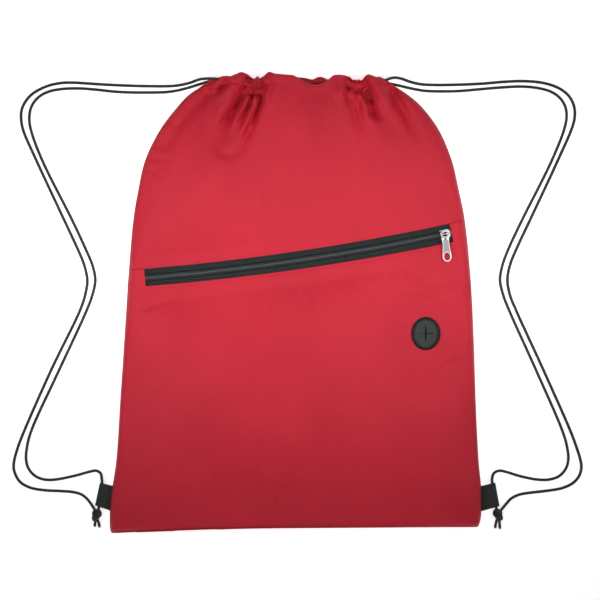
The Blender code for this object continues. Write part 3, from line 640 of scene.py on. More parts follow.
def camera_and_studio():
    """A long lens straight above the bag, soft lights from the sides and overhead, and a pale floor."""
    view_width = 555.0
    lens = 200.0
    sensor = 36.0
    level = 10.0
    data = bpy.data.cameras.new("camera")
    data.lens = lens
    data.sensor_width = sensor
    data.clip_end = 20.0
    camera = bpy.data.objects.new("camera", data)
    camera.location = (2.5 * MM, 2.3 * MM, (level + view_width * lens / sensor) * MM)
    bpy.context.scene.collection.objects.link(camera)
    bpy.context.scene.camera = camera
    bpy.context.scene.view_settings.view_transform = "Standard"

    def area(name, location, aim, size, power, spread=180.0):
        light = bpy.data.lights.new(name, "AREA")
        light.shape = "RECTANGLE"
        light.size, light.size_y = size
        light.energy = power
        light.spread = math.radians(spread)
        made = bpy.data.objects.new(name, light)
        made.location = location
        direction = Vector(aim) - Vector(location)
        made.rotation_euler = direction.to_track_quat("-Z", "Y").to_euler()
        bpy.context.scene.collection.objects.link(made)

    for side in (-1, 1):
        area("side_key", (side * 0.62, 0.035, 0.72), (0.0, 0.038, 0.0), (0.30, 0.26), 0.218, 42.0)
    area("overhead", (-0.04, 0.058, 0.50), (-0.04, 0.058, 0.0), (1.0, 0.22), 0.35, 62.0)
    area("low_side", (-0.1, -0.55, 0.45), (0.0, 0.05, 0.0), (0.9, 0.3), 0.76)
    world = bpy.data.worlds.new("studio")
    world.use_nodes = True
    world.node_tree.nodes["Background"].inputs["Color"].default_value = (0.97, 0.98, 1.0, 1.0)
    world.node_tree.nodes["Background"].inputs["Strength"].default_value = 0.15
    bpy.context.scene.world = world

    half = 3.0
    mesh = bpy.data.meshes.new("floor")
    corners = [(-half, -half, 0), (half, -half, 0), (half, half, 0), (-half, half, 0)]
    mesh.from_pydata(corners, [], [(0, 1, 2, 3)])
    floor = bpy.data.objects.new("floor", mesh)
    bpy.context.scene.collection.objects.link(floor)
    nodes = Nodes("pale_floor")
    speck = nodes.noise(object_vector(nodes), 60.0, 2.0)
    pale = nodes.mix(speck, (0.93, 0.93, 0.93), (0.95, 0.95, 0.95))
    nodes.set(base_color=pale, roughness=0.9, emission_color=(1.0, 1.0, 1.0), emission_strength=0.70)
    mesh.materials.append(nodes.material)


# ---- Cords and knots ----

# Routes from the mouth to the knot, seen from above. A point without a height lies on the floor.
LEFT_OUTER = [
    (-72.3, 206.4, 14.25), (-80.0, 206.9, 13.6), (-90.0, 206.5, 9.8), (-100.0, 203.4, 4.8),
    (-113.0, 201.0, 1.9), (-136.0, 200.6), (-166.7, 201.5), (-187.1, 202.6), (-205.6, 203.8),
    (-217.6, 203.7), (-228.7, 201.7), (-238.0, 198.1), (-246.3, 193.0), (-251.8, 186.9), (-255.6, 179.0),
    (-256.2, 170.0), (-254.2, 159.6), (-242.1, 131.8), (-216.2, 76.3), (-203.3, 48.6), (-197.7, 34.7),
    (-194.8, 20.8), (-196.8, 6.9), (-201.4, -6.9), (-228.2, -62.4), (-252.8, -117.9), (-258.3, -131.8),
    (-262.4, -145.7), (-263.1, -153.0), (-261.3, -160.0), (-256.5, -167.0), (-247.2, -171.9),
    (-233.4, -174.2), (-219.5, -174.9), (-208.4, -175.8), (-200.6, -177.9), (-196.0, -181.2, 1.4),
    (-191.8, -186.1, 2.1), (-188.4, -191.0, 3.4),
]
LEFT_INNER = [
    (-72.3, 206.4, 2.75), (-80.7, 205.2, 2.4), (-90.0, 202.6, 1.6), (-103.8, 198.4), (-117.7, 195.5),
    (-136.2, 194.7), (-166.7, 195.3), (-187.1, 197.4), (-202.7, 198.5), (-217.6, 198.0), (-228.7, 196.1),
    (-236.6, 192.8), (-242.8, 187.6), (-247.2, 180.0), (-248.6, 170.0), (-246.7, 158.6), (-236.6, 131.8),
    (-208.8, 76.3), (-195.9, 48.6), (-190.1, 34.7), (-187.4, 20.8), (-190.1, 6.9), (-195.2, -6.9),
    (-220.8, -62.4), (-246.3, -117.9), (-250.3, -131.8), (-251.6, -145.0), (-249.5, -153.6),
    (-244.0, -160.3), (-236.0, -163.9), (-226.0, -164.4), (-205.6, -160.5), (-193.6, -157.2, 1.4),
    (-186.6, -156.0, 1.9), (-182.4, -158.4, 2.6), (-181.3, -163.0, 3.1), (-181.0, -169.0, 3.2),
    (-182.3, -180.0, 3.2), (-184.1, -190.7, 3.4),
]
RIGHT_OUTER = [
    (78.3, 203.6, 14.25), (83.0, 206.0, 13.7), (89.5, 207.9, 10.8), (96.5, 207.2, 7.0), (104.0, 204.7, 4.0),
    (114.5, 202.4, 1.9), (132.0, 201.7), (169.0, 202.8), (191.2, 204.6), (208.8, 205.3), (224.5, 204.2),
    (236.6, 201.3), (246.2, 196.6), (252.8, 190.3), (256.7, 182.0), (257.4, 173.0), (255.2, 163.0),
    (241.7, 131.8), (215.8, 76.3), (202.8, 48.6), (197.3, 34.7), (194.9, 20.8), (197.3, 6.9), (202.8, -6.9),
    (228.2, -62.4), (252.8, -117.9), (258.1, -131.8), (262.5, -145.7), (263.5, -153.0), (261.6, -160.4),
    (256.0, -167.2), (245.8, -172.1), (231.9, -174.6), (218.1, -176.2), (206.0, -178.2), (198.2, -182.0),
    (193.4, -187.2, 2.0), (189.9, -191.2, 3.4),
]
RIGHT_INNER = [
    (78.3, 203.6, 2.75), (86.0, 202.8, 2.4), (95.0, 201.0, 1.6), (106.1, 198.4), (118.0, 196.3),
    (133.0, 195.8), (150.5, 196.1), (169.0, 197.7), (192.2, 199.6), (208.8, 200.2), (224.5, 198.6),
    (235.8, 195.2), (243.4, 189.8), (248.4, 182.0), (249.8, 173.0), (247.8, 161.5), (236.1, 131.8),
    (208.4, 76.3), (195.4, 48.6), (190.3, 34.7), (188.0, 20.8), (191.0, 6.9), (196.3, -6.9), (221.3, -62.4),
    (245.4, -117.9), (249.7, -131.8), (251.4, -145.0), (249.1, -154.0), (243.0, -160.9), (233.8, -164.2),
    (222.7, -164.2), (207.0, -161.2), (194.6, -157.4, 1.4), (187.4, -156.0, 1.9), (182.4, -158.2, 2.6),
    (180.6, -163.0, 3.1), (180.9, -169.0, 3.2), (182.6, -180.0, 3.2), (184.4, -190.3, 3.4),
]


def braid_mesh(name, path, sides=16):
    """A cord with the braid's swell in its surface and a UV map for the braid pattern."""
    mesh = joined_mesh(name, [tube_parts(path, CORD / 2 / 1.02, sides, wobble=0.03)])
    along = lengths_along(np.asarray(path, float)) * MM
    layer = mesh.uv_layers.new(name="braid")
    flat = []
    for polygon in mesh.polygons:
        if len(polygon.vertices) != 4:
            flat += [0.0, 0.0] * len(polygon.vertices)
            continue
        ring = polygon.vertices[0] // sides
        start = polygon.vertices[0] % sides
        for corner, (right, up) in enumerate(((0, 0), (1, 0), (1, 1), (0, 1))):
            flat += [(start + right) / sides, along[ring + up]]
    layer.data.foreach_set("uv", flat)
    return mesh


def braid(name, path, material):
    made = add_object(name + "_braid", braid_mesh(name + "_braid", path), material)
    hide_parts(name)
    return made


def free_cord(name, route, material):
    path = smooth_path(route, 12, 1.1)
    path[:, 2] = np.maximum(path[:, 2], CORD / 2 + 0.05)
    made = braid(name, path, material)


def overhand_knot(name, sign, ends, material):
    """Both ends of the cord tied together in an overhand knot, with two cut and slightly frayed tails."""
    low, high = box_mm(name)
    centre = Vector(((low.x + high.x) / 2 + 0.7 * sign, high.y - 6.0, 4.8))
    radius = CORD / 2 - 0.05
    turns = np.linspace(0, 2 * math.pi, 97)
    across = np.sin(turns) + 2 * np.sin(2 * turns)
    along = np.cos(turns) - 2 * np.cos(2 * turns)
    lobes = np.stack([across, along, -np.sin(3 * turns)], axis=1)
    lean = math.radians(28) * sign
    spin = np.array([[math.cos(lean), -math.sin(lean), 0], [math.sin(lean), math.cos(lean), 0], [0, 0, 1]])
    outer_loop = (lobes * np.array([1.2, 1.65, 1.75])) @ spin.T + np.array(centre)
    inner_loop = (lobes * np.array([0.72, 1.1, -1.15])) @ spin + np.array(centre)
    shoulder = Vector((centre.x - 2.2 * sign, centre.y + 2.2, 4.6))
    collar = np.stack([1.6 * np.cos(turns), 2.7 * np.sin(turns), 1.2 * np.sin(turns + 0.6)], axis=1)
    collar = collar @ spin + np.array(shoulder)
    loops = (outer_loop, inner_loop, collar)
    parts = [tube_parts(loop, radius, 14, cap=False, wobble=0.04) for loop in loops]
    for end, before in ends:
        onward = Vector(end) + (Vector(end) - Vector(before)).normalized() * 2.2
        route = [Vector(end), onward.lerp(centre, 0.25), centre.lerp(onward, 0.25)]
        parts.append(tube_parts(smooth_path(route, 8, 0.6), radius, 14, wobble=0.04))
    for end_x, end_y in ((low.x + 1.8, low.y + 1.0), (high.x - 1.8, low.y + 0.4)):
        route = [
            (centre.x, centre.y - 1.5, 4.0), (centre.x + (end_x - centre.x) * 0.45, centre.y - 4.6, 3.0),
            (centre.x + (end_x - centre.x) * 0.8, (centre.y + end_y) / 2 - 2.4, 1.8), (end_x, end_y, 1.55),
        ]
        path = smooth_path(route, 10, 0.6)
        radii = np.full(len(path), radius)
        radii[-4:] = (radius + 0.03, radius + 0.08, radius + 0.12, radius)
        parts.append(tube_parts(path, radii, 14, wobble=0.04))
        for strand in range(9):
            turn = strand * 2.4
            away = Vector((math.cos(turn), 0.0, math.sin(turn))) * (0.35 + 0.07 * strand)
            root = Vector(tuple(path[-1])) + away
            tip = root + Vector((away.x * 0.5, -0.9 - 0.08 * (strand % 4), away.z * 0.3))
            tip.z = max(tip.z, 0.15)
            parts.append(tube_parts([tuple(root), tuple(root.lerp(tip, 0.5)), tuple(tip)], 0.12, 5))
    mesh = joined_mesh(name + "_tied", parts)
    layer = mesh.uv_layers.new(name="braid")
    for loop in mesh.loops:
        spot = mesh.vertices[loop.vertex_index].co
        layer.data[loop.index].uv = (spot.x / MM / 8.0, spot.y)
    made = add_object(name + "_tied", mesh, material)
    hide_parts(name)
    return made


def tunnel_dip(x, depth):
    """How far the cords drop towards the bag where the mouth's edge dips."""
    dip = depth * np.exp(-(((x - 17.0) / 15.0) ** 2))
    return dip + 4.2 * np.exp(-(((x + 39.0) / 9.0) ** 2)) + 4.9 * np.exp(-(((x - 55.0) / 9.0) ** 2))


def gather_sink(x):
    """How far the bunched hem and the cords in it sink at the two gathers."""
    return 5.4 * (np.exp(-(((x + 38.0) / 8.0) ** 2)) + np.exp(-(((x - 56.0) / 8.0) ** 2)))


def hidden_cord(name, y, exit_x, turn_x, material):
    """The stretch of a cord inside the two tunnels, with its turn at the far side."""
    radius = (FRONT_CORD_Z - BACK_CORD_Z) / 2
    sign = math.copysign(1, turn_x - exit_x)
    xs = np.linspace(exit_x, turn_x, 60)
    route = [(x, y - tunnel_dip(x, FRONT_DIP), FRONT_CORD_Z - gather_sink(x)) for x in xs]
    for turn in np.linspace(0, math.pi, 13)[1:-1]:
        out = math.sin(turn)
        height = BACK_CORD_Z + radius + radius * math.cos(turn)
        route.append((turn_x + sign * radius * out, y - 1.6 * out, height))
    route += [(x, y - tunnel_dip(x, BACK_DIP), BACK_CORD_Z) for x in xs[::-1]]
    braid(name, smooth_path(route, 2, 1.1), material)


def cords():
    material = braided_cord("black_braid", (0.012, 0.013, 0.013))
    left, right = [
        [[spot if len(spot) == 3 else (*spot, CORD_ON_FLOOR) for spot in route] for route in pair]
        for pair in ((LEFT_OUTER, LEFT_INNER), (RIGHT_OUTER, RIGHT_INNER))
    ]
    knot_left = overhand_knot("knot_left", -1, [(route[-1], route[-2]) for route in left], material)
    knot_right = overhand_knot("knot_right", 1, [(route[-1], route[-2]) for route in right], material)
    for side, routes, knot in (("left", left, knot_left), ("right", right, knot_right)):
        for strand, route in zip(("outer", "inner"), routes):
            free_cord(f"cord_{side}_{strand}", route, material)
    hidden_cord("cord_left_in_tunnels", 206.4, -72.0, 77.0, material)
    hidden_cord("cord_right_in_tunnels", 203.6, 78.0, -71.0, material)


# ---- Cloth: the shape of the front ----

# Folds that run down from the two gathers: (points, half width, depth at start, depth at end).
VALLEYS = [
    ([(-44, 206), (-46, 199), (-52, 190), (-59, 180), (-65, 172), (-69, 163)], 3.9, 11.5, 0.4),
    ([(-31, 199), (-35, 195), (-41, 195), (-47, 197)], 3.2, 9.0, 9.0),
    ([(-38, 198), (-42, 188), (-47, 178), (-56, 163)], 2.8, 8.0, 0.8),
    ([(-34, 197), (-33, 188), (-37, 176), (-44, 158), (-48, 150)], 3.0, 8.0, 0.2),
    ([(-66, 172), (-73, 160), (-75, 148), (-71, 139), (-62, 136), (-53, 141), (-45, 156)], 4.6, 1.2, 1.2),
    ([(-66, 202), (-71, 197), (-78, 192)], 3.2, 6.0, 0.8),
    ([(-84, 194), (-90, 187), (-103, 172), (-114, 158), (-122, 146)], 6.0, 3.6, 0.6),
    ([(47, 204), (46, 197), (46, 188)], 2.8, 8.0, 1.0),
    ([(50, 203), (57, 199), (64, 193), (68, 186), (71, 176), (75, 167)], 4.4, 11.5, 0.3),
    ([(62, 204), (65, 197), (70, 188)], 3.0, 6.0, 1.0),
    ([(53, 190), (55, 178), (60, 166), (66, 154)], 6.5, 4.2, 0.4),
    ([(69, 176), (76, 172), (83, 175)], 3.2, 2.6, 0.6),
    ([(88, 194), (94, 182), (103, 170), (110, 154)], 5.0, 4.6, 0.5),
]
RIDGES = [
    ([(-37, 193), (-38, 184), (-44, 172)], 1.6, 2.2, 0.4),
    ([(-58, 206), (-63, 194), (-72, 178), (-78, 164)], 6.0, 4.0, 0.6),
    ([(-24, 207), (-26, 190), (-30, 165)], 8.0, 2.4, 0.3),
    ([(42, 206), (40, 190), (36, 168)], 8.0, 2.4, 0.3),
    ([(57, 192), (54, 186), (50, 176)], 2.4, 3.0, 0.4),
    ([(58, 192), (62, 184), (67, 176)], 2.2, 2.6, 0.4),
    ([(70, 206), (77, 193), (82, 180)], 6.0, 4.0, 0.6),
]
LEFT_GATHER = -38.0
RIGHT_GATHER = 56.0


def front_height(x, y, flat):
    """Height of the front cloth above the floor, before the folds."""
    gap, _ = line_distance(x, y, SEAM_LINE)
    seam = SEAM_Z + 0.4 + 6.0 * smooth_step((y - 199) / 7)
    _, across = arc_place(x, y)
    tight = np.sqrt(1 - (1 - np.clip(gap / 11, 0, 1)) ** 2)
    quick = np.sqrt(1 - (1 - np.clip(gap / 6.5, 0, 1)) ** 2)
    soft = 0.80 * quick + 0.20 * smooth_step(gap / 42)
    near_zip = np.exp(-((across / 24) ** 2))
    profile = soft + (tight - soft) * near_zip
    swell = 1.1 * waves(x, y, 70, 3.1) + 0.45 * waves(x, y, 26, 7.7)
    return seam + (FRONT_Z - seam) * profile + (1 - flat) * swell * np.clip(gap / 30, 0, 1)


def flat_zone(x, y):
    """1 where the cloth has to lie flat: along the zip, round the port and under the pull."""
    _, across = arc_place(x, y)
    by_zip = np.exp(-((across / 20) ** 4))
    by_port = np.exp(-((np.hypot(x - PORT.x, y - PORT.y) / 26) ** 4))
    by_pull = np.exp(-((np.hypot(x - PIVOT.x, y - PIVOT.y) / 38) ** 4))
    return np.clip(by_zip + by_port + by_pull, 0, 1)


def fold_relief(x, y):
    relief = np.zeros(x.shape)
    for sign, folds in ((-1, VALLEYS), (1, RIDGES)):
        for points, width, start, end in folds:
            gap, share = line_distance(x, y, dense(points, 6))
            size = start + (end - start) * share
            relief += sign * size * np.exp(-((gap / width) ** 2))
            if sign < 0:
                relief += 0.22 * size * np.exp(-(((gap - 2.0 * width) / width) ** 2))
    basin = np.exp(-(((x + 60) / 13) ** 2) - (((y - 153) / 17) ** 2))
    return np.maximum(relief, -11.5) - 2.8 * basin


def gather_pleats(x, y):
    """Short upright pleats, sharp in their valleys, where the cords bunch the hem."""
    height = smooth_step((y - 189) / 12)
    stray = x + 0.9 * waves(x, y, 11, 2.2)
    pleats = 0
    for middle, half, slant, pitch in ((LEFT_GATHER, 9, 0.2, 4.6), (RIGHT_GATHER, 8, -0.2, 4.1)):
        crests = np.abs(np.sin((stray + slant * (y - 200)) * math.pi / pitch)) - 0.45
        pleats = pleats + np.exp(-(((x - middle) / half) ** 4)) * crests
    outer = 0.5 * np.sin(x * 2 * math.pi / 23 + 0.7) * np.exp(-(((np.abs(x - MOUTH_X) - 62) / 14) ** 2))
    size = 5.2 + 2.0 * smooth_step((y - 201) / 5)
    return height * (size * pleats + 1.5 * outer)


def fullness(x, y):
    """How much wider the flat cloth is than its gathered place, in millimetres."""
    high = smooth_step((y - 142) / 55)
    return high * (13 * np.tanh((x - LEFT_GATHER) / 10) + 11 * np.tanh((x - RIGHT_GATHER) / 9))


def relaxed(grid, rest, held, frames, growth, pressure):
    """Lets Blender's cloth solver settle a grid of points.

    rest is the unstretched cloth, and held is 1 on pinned points.
    """
    mesh = grid_mesh("settling", grid)
    made = bpy.data.objects.new("settling", mesh)
    bpy.context.scene.collection.objects.link(made)
    made.shape_key_add(name="draped")
    flat = made.shape_key_add(name="flat")
    flat.data.foreach_set("co", (rest.reshape(-1, 3) * MM).astype(np.float32).ravel())
    pins = made.vertex_groups.new(name="held")
    for number, weight in enumerate(held.ravel()):
        if weight > 0.001:
            pins.add([number], float(weight), "REPLACE")
    modifier = made.modifiers.new("cloth", "CLOTH")
    wanted = {
        "quality": 6, "mass": 0.0002, "air_damping": 2, "shrink_min": -growth,
        "tension_stiffness": 18, "compression_stiffness": 18, "shear_stiffness": 6, "bending_stiffness": 0.05,
        "tension_damping": 8, "compression_damping": 8, "shear_damping": 8,
        "vertex_group_mass": "held", "pin_stiffness": 40, "rest_shape_key": flat,
        "use_pressure": True, "uniform_pressure_force": pressure,
    }
    for key, value in wanted.items():
        setattr(modifier.settings, key, value)
    modifier.collision_settings.use_collision = False
    modifier.point_cache.frame_start = 1
    modifier.point_cache.frame_end = frames
    scene = bpy.context.scene
    for frame_number in range(1, frames + 1):
        scene.frame_set(frame_number)
    settled = made.evaluated_get(bpy.context.evaluated_depsgraph_get()).to_mesh()
    points = np.empty(len(settled.vertices) * 3)
    settled.vertices.foreach_get("co", points)
    bpy.data.objects.remove(made)
    scene.frame_set(1)
    return points.reshape(grid.shape) / MM


def cloth_uv(width, height, u_shares, v_shares):
    """Coordinates on the flat cut piece, in metres."""
    return np.dstack(np.meshgrid(np.asarray(u_shares) * width * MM, np.asarray(v_shares) * height * MM))


def edge_attribute(mesh, line, reach):
    """Stores how close each point is to an edge line; the cloth paints shade there and the coil a highlight.
    """
    spots = np.array([vertex.co for vertex in mesh.vertices]) / MM
    gap, _ = line_distance(spots[:, 0], spots[:, 1], line)
    made = mesh.attributes.new("edge", "FLOAT", "POINT")
    made.data.foreach_set("value", np.exp(-((gap / reach) ** 2)).astype(np.float32))


def cloth_piece(name, mesh, material, node, line=SEAM_LINE, reach=SEAM_SHADE_AND_WEAR, offset=-1.0):
    """A thick piece of red cloth, darkened at its edges by painted shade with a little rubbing, that stands
    for its CAD node.
    """
    edge_attribute(mesh, line, reach)
    made = add_object(name, mesh, material)
    thicken(made, CLOTH, offset)
    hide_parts(node)
    return made


def split_at(row, side, whole, uv, material, line, offset=-1.0):
    """Cuts a front or back grid at its stitching into the panel and its cord tunnel."""
    names = {"front": ("front_upper_cloth", "front_upper_panel"), "back": ("back_cloth", "back_panel")}
    name, node = names[side]
    mesh = grid_mesh(name, whole[: row + 1], uv[: row + 1])
    panel = cloth_piece(name, mesh, material, node, offset=offset)
    name = side + "_tunnel_cloth"
    mesh = grid_mesh(name, whole[row:], uv[row:])
    return panel, cloth_piece(name, mesh, material, side + "_cord_tunnel", line, HEM_SHADE_AND_WEAR, offset)


def cord_line(x):
    """Where the middle of the two cords lies inside the front tunnel."""
    return 205.0 - tunnel_dip(x, FRONT_DIP)


def front_upper(material):
    """One surface from the zip's seam to the mouth's edge, over it and back inside the tunnel."""
    seam_s = (arc_end(LEFT_LINE, WINDOW_HALF)[0], arc_end(RIGHT_LINE, WINDOW_HALF)[0])
    bottom = np.array([arc_point(s, WINDOW_HALF) for s in np.linspace(*seam_s, 120)])
    left = side_stretch(LEFT_LINE, WINDOW_HALF, None)
    right = side_stretch(RIGHT_LINE, WINDOW_HALF, None)
    u = soft_edges(230, 0.25)
    v = edge_rows([0, 0.6, 1.2, 1.8, 2.4, 3.2, 4.5, 6, 8], 104, 150)
    plane = patch(bottom, FRONT_HEM_LINE, left, right, u, v)
    x, y = plane[..., 0], plane[..., 1]
    calm = flat_zone(x, y)
    hem_y = np.interp(x, FRONT_HEM_LINE[:, 0], FRONT_HEM_LINE[:, 1])
    to_hem = hem_y - y
    over_mouth = np.abs(x - MOUTH_X) < MOUTH_HALF
    relief = fold_relief(x, y)
    z = front_height(x, y, calm) + (1 - calm) * relief + gather_pleats(x, y)
    over_cord = np.exp(-(((y - cord_line(x)) / 4.1) ** 8)) * over_mouth
    z += over_cord * np.maximum(TUNNEL_HIGH.z - 0.7 - gather_sink(x) - z, 0)
    z = np.maximum(z, LOWEST_FRONT)
    z -= 0.1 * np.exp(-(((to_hem - TUNNEL_DEPTH) / 0.8) ** 2)) * over_mouth
    s, across = arc_place(x, y)
    past_window = np.where((s < WINDOW_S[0]) | (s > WINDOW_S[1]), 1.0, 0.4)
    z -= 0.6 * past_window * np.exp(-(((across - WINDOW_HALF - 1.5) / 0.7) ** 2))
    roll = np.clip(to_hem / HEM_ROLL, 0, 1)
    drop = (1 - np.sqrt(1 - (1 - roll) ** 2)) * HEM_ROLL
    z = np.where(over_mouth, z - drop, z)
    grid = np.dstack([x, y, z])

    rest = grid.copy()
    rest[..., 0] += fullness(x, y)
    held = np.maximum(calm**2, 0.9 * over_cord)
    held = np.maximum(held, np.exp(-((to_hem / 5) ** 2)))
    held[:3] = held[:, :2] = held[:, -2:] = held[-3:] = 1
    grid = relaxed(grid, rest, held, 22, 0.002, 30.0)
    grid[..., 2] += (1 - held) * (1 - calm) * np.where(relief < 0, 1.2, 0.35) * relief
    floor = np.maximum(LOWEST_FRONT, over_cord * (TUNNEL_HIGH.z - 0.3 - gather_sink(x)))
    grid[..., 2] = np.maximum(grid[..., 2], np.where(to_hem > 0.9, floor, LOWEST_FRONT))

    edge = grid[-1]
    under_cord = FRONT_CORD_Z - CORD / 2 - 0.8 - gather_sink(edge[:, 0])
    fall = np.maximum(HEM_ROLL * 0.85, edge[:, 2] - under_cord)
    under = []
    for step in range(1, 6):
        turn = math.pi / 2 * step / 5
        row = edge.copy()
        row[:, 1] -= HEM_ROLL * (1 - math.cos(turn)) * 0.9
        row[:, 2] -= fall * math.sin(turn)
        under.append(row)
    for depth in (4, 8, 11):
        row = under[4].copy()
        row[:, 1] -= depth
        row[:, 2] = np.maximum(row[:, 2], TUNNEL_LOW.z - 0.2 - gather_sink(row[:, 0]))
        above = np.array([np.interp(spot[1], grid[:, k, 1], grid[:, k, 2]) for k, spot in enumerate(row)])
        lowest = np.min([np.roll(above, shift) for shift in range(-4, 5)], axis=0)
        row[:, 2] = np.minimum(row[:, 2], lowest - 1.2)
        under.append(row)
    whole = np.concatenate([grid, np.array(under)])
    shares = np.concatenate([v, 1 + np.arange(1, len(under) + 1) * 0.012])
    uv = cloth_uv(340, 165, u, shares)
    stitch_row = int(np.argmin(np.abs(np.median(to_hem[:, 80:150], axis=1) - TUNNEL_DEPTH)))
    return split_at(stitch_row, "front", whole, uv, material, FRONT_HEM_LINE)


def window_low(s):
    """The window's lower edge: it stands a little closer to the zip's middle at the left end."""
    return -WINDOW_HALF + 1.0 * np.clip((WINDOW_S[1] - s) / (WINDOW_S[1] - WINDOW_S[0]), 0, 1)


def pocket_front(material):
    """The pocket's front: bottom seam to the zip, with the window left open for the zip."""
    low, high = -WINDOW_HALF, WINDOW_HALF - 0.3
    start = arc_end(LEFT_LINE, low)[0]
    end = arc_end(RIGHT_LINE, low)[0]
    columns = np.concatenate([
        np.linspace(start, WINDOW_S[0] - 2, 9)[:-1], np.linspace(WINDOW_S[0] - 2, WINDOW_S[0], 4)[:-1],
        np.linspace(*WINDOW_S, 130), np.linspace(WINDOW_S[1], WINDOW_S[1] + 2, 4)[1:],
        np.linspace(WINDOW_S[1] + 2, end, 9)[1:],
    ])
    u = (columns - start) / (end - start)
    v = 1 - edge_rows([0, 0.6, 1.2, 1.8, 2.4, 3.2, 4.5, 6, 8, 11], 96, 240)[::-1]
    v[0] = 0.0
    top = np.array([arc_point(s, window_low(s)) for s in columns])
    left = side_stretch(LEFT_LINE, None, low)
    right = side_stretch(RIGHT_LINE, None, low)
    main = patch(BOTTOM_LINE, top, left, right, u, v)
    main[-1] = top
    band = []
    for level in np.linspace(0, 1, 13)[1:]:
        across = low + (high - low) * level
        first = arc_end(LEFT_LINE, across)[0]
        last = arc_end(RIGHT_LINE, across)[0]
        row = []
        for s in columns:
            if s < WINDOW_S[0]:
                s = WINDOW_S[0] - (WINDOW_S[0] - s) * (WINDOW_S[0] - first) / (WINDOW_S[0] - start)
            elif s > WINDOW_S[1]:
                s = WINDOW_S[1] + (s - WINDOW_S[1]) * (last - WINDOW_S[1]) / (end - WINDOW_S[1])
            row.append(arc_point(s, window_low(s) + (high - window_low(s)) * level))
        band.append(row)
    plane = np.concatenate([main, np.array(band)])
    x, y = plane[..., 0], plane[..., 1]
    z = front_height(x, y, flat_zone(x, y))
    s, across = arc_place(x, y)
    beyond = np.maximum(np.maximum(WINDOW_S[0] - s, s - WINDOW_S[1]), 0)
    to_window = np.hypot(beyond, np.maximum(window_low(s) - across, 0))
    z += 0.3 * smooth_step((7.5 - to_window) / 1.5) - 0.35 * np.exp(-(((to_window - 2.3) / 0.6) ** 2))
    edge_drop = np.clip(1 - to_window / 0.8, 0, 1)
    z -= 0.35 * edge_drop
    grid = np.dstack([x, y, z])
    held = np.maximum(flat_zone(x, y), np.exp(-((to_window / 9) ** 4)))
    held[:2] = held[:, :2] = held[:, -2:] = 1
    held[len(main) - 1 :] = 1
    settled = relaxed(grid[: len(main)], grid[: len(main)], held[: len(main)], 18, 0.006, 60.0)
    grid = np.concatenate([settled, grid[len(main) :]])
    keep = np.ones((grid.shape[0] - 1, grid.shape[1] - 1), bool)
    middle = (columns[:-1] >= WINDOW_S[0] - 0.01) & (columns[1:] <= WINDOW_S[1] + 0.01)
    keep[len(main) - 1 :, middle] = False
    hole = (((x - PORT.x) / 10.6) ** 2 + ((y - PORT.y) / 12.4) ** 2) < 1
    keep &= ~(hole[:-1, :-1] & hole[1:, 1:] & hole[1:, :-1] & hole[:-1, 1:])
    rows_v = np.concatenate([v * 0.93, 0.93 + 0.07 * np.linspace(0, 1, 13)[1:]])
    uv = cloth_uv(345, 270, u, rows_v)
    mesh = grid_mesh("front_pocket_cloth", grid, uv, keep)
    return cloth_piece("front_pocket_cloth", mesh, material, "front_pocket_panel")


def back_cloth(material):
    """The back: flat on the floor, its rim turned up to the seam, and its own cord tunnel."""
    u = soft_edges(150, 0.5)
    v = edge_rows([0, 1, 2, 3.2, 4.6, 6.2, 8, 11], 130, 400)
    plane = patch(BOTTOM_LINE, BACK_HEM_LINE, LEFT_LINE, RIGHT_LINE, u, v)
    x, y = plane[..., 0], plane[..., 1]
    gap, _ = line_distance(x, y, SEAM_LINE)
    rise = 1 - np.sqrt(1 - (1 - np.clip(gap / 8.5, 0, 1)) ** 2)
    bed = 0.75 + 0.35 * np.clip(waves(x, y, 45, 1.3), -0.6, 1.0) * np.clip(gap / 25, 0, 1)
    z = bed + (SEAM_Z - bed) * rise
    hem_y = np.interp(x, BACK_HEM_LINE[:, 0], BACK_HEM_LINE[:, 1])
    to_hem = hem_y - y
    near = smooth_step((24 - to_hem) / 12) * (np.abs(x - MOUTH_X) < BACK_MOUTH_HALF)
    ruffle = 0.5 + 0.5 * np.sin(x * 2 * math.pi / 13)
    z = z + near * 0.25 * ruffle
    grid = np.dstack([x, y, z])
    edge = grid[-1]
    folded = []
    half = BACK_TUNNEL_TOP / 2
    for step in range(1, 9):
        turn = math.pi * step / 8
        row = edge.copy()
        row[:, 1] += half * math.sin(turn) * 0.35
        row[:, 2] = edge[:, 2] + (BACK_TUNNEL_TOP - 0.3 - edge[:, 2]) * (1 - math.cos(turn)) / 2
        folded.append(row)
    for depth in (3, 6, 10, 14, 18):
        row = folded[7].copy()
        row[:, 1] -= depth
        row[:, 2] += 0.35 * np.sin(row[:, 0] * 2 * math.pi / 9 + depth / 6) - 0.12 * depth
        folded.append(row)
    whole = np.concatenate([grid, np.array(folded)])
    shares = np.concatenate([v, 1 + np.arange(1, len(folded) + 1) * 0.006])
    uv = cloth_uv(345, 425, u, shares)
    stitch_row = int(np.argmin(np.abs(np.median(to_hem[:, 50:100], axis=1) - BACK_TUNNEL_DEPTH)))
    return split_at(stitch_row, "back", whole, uv, material, BACK_HEM_LINE, 1.0)


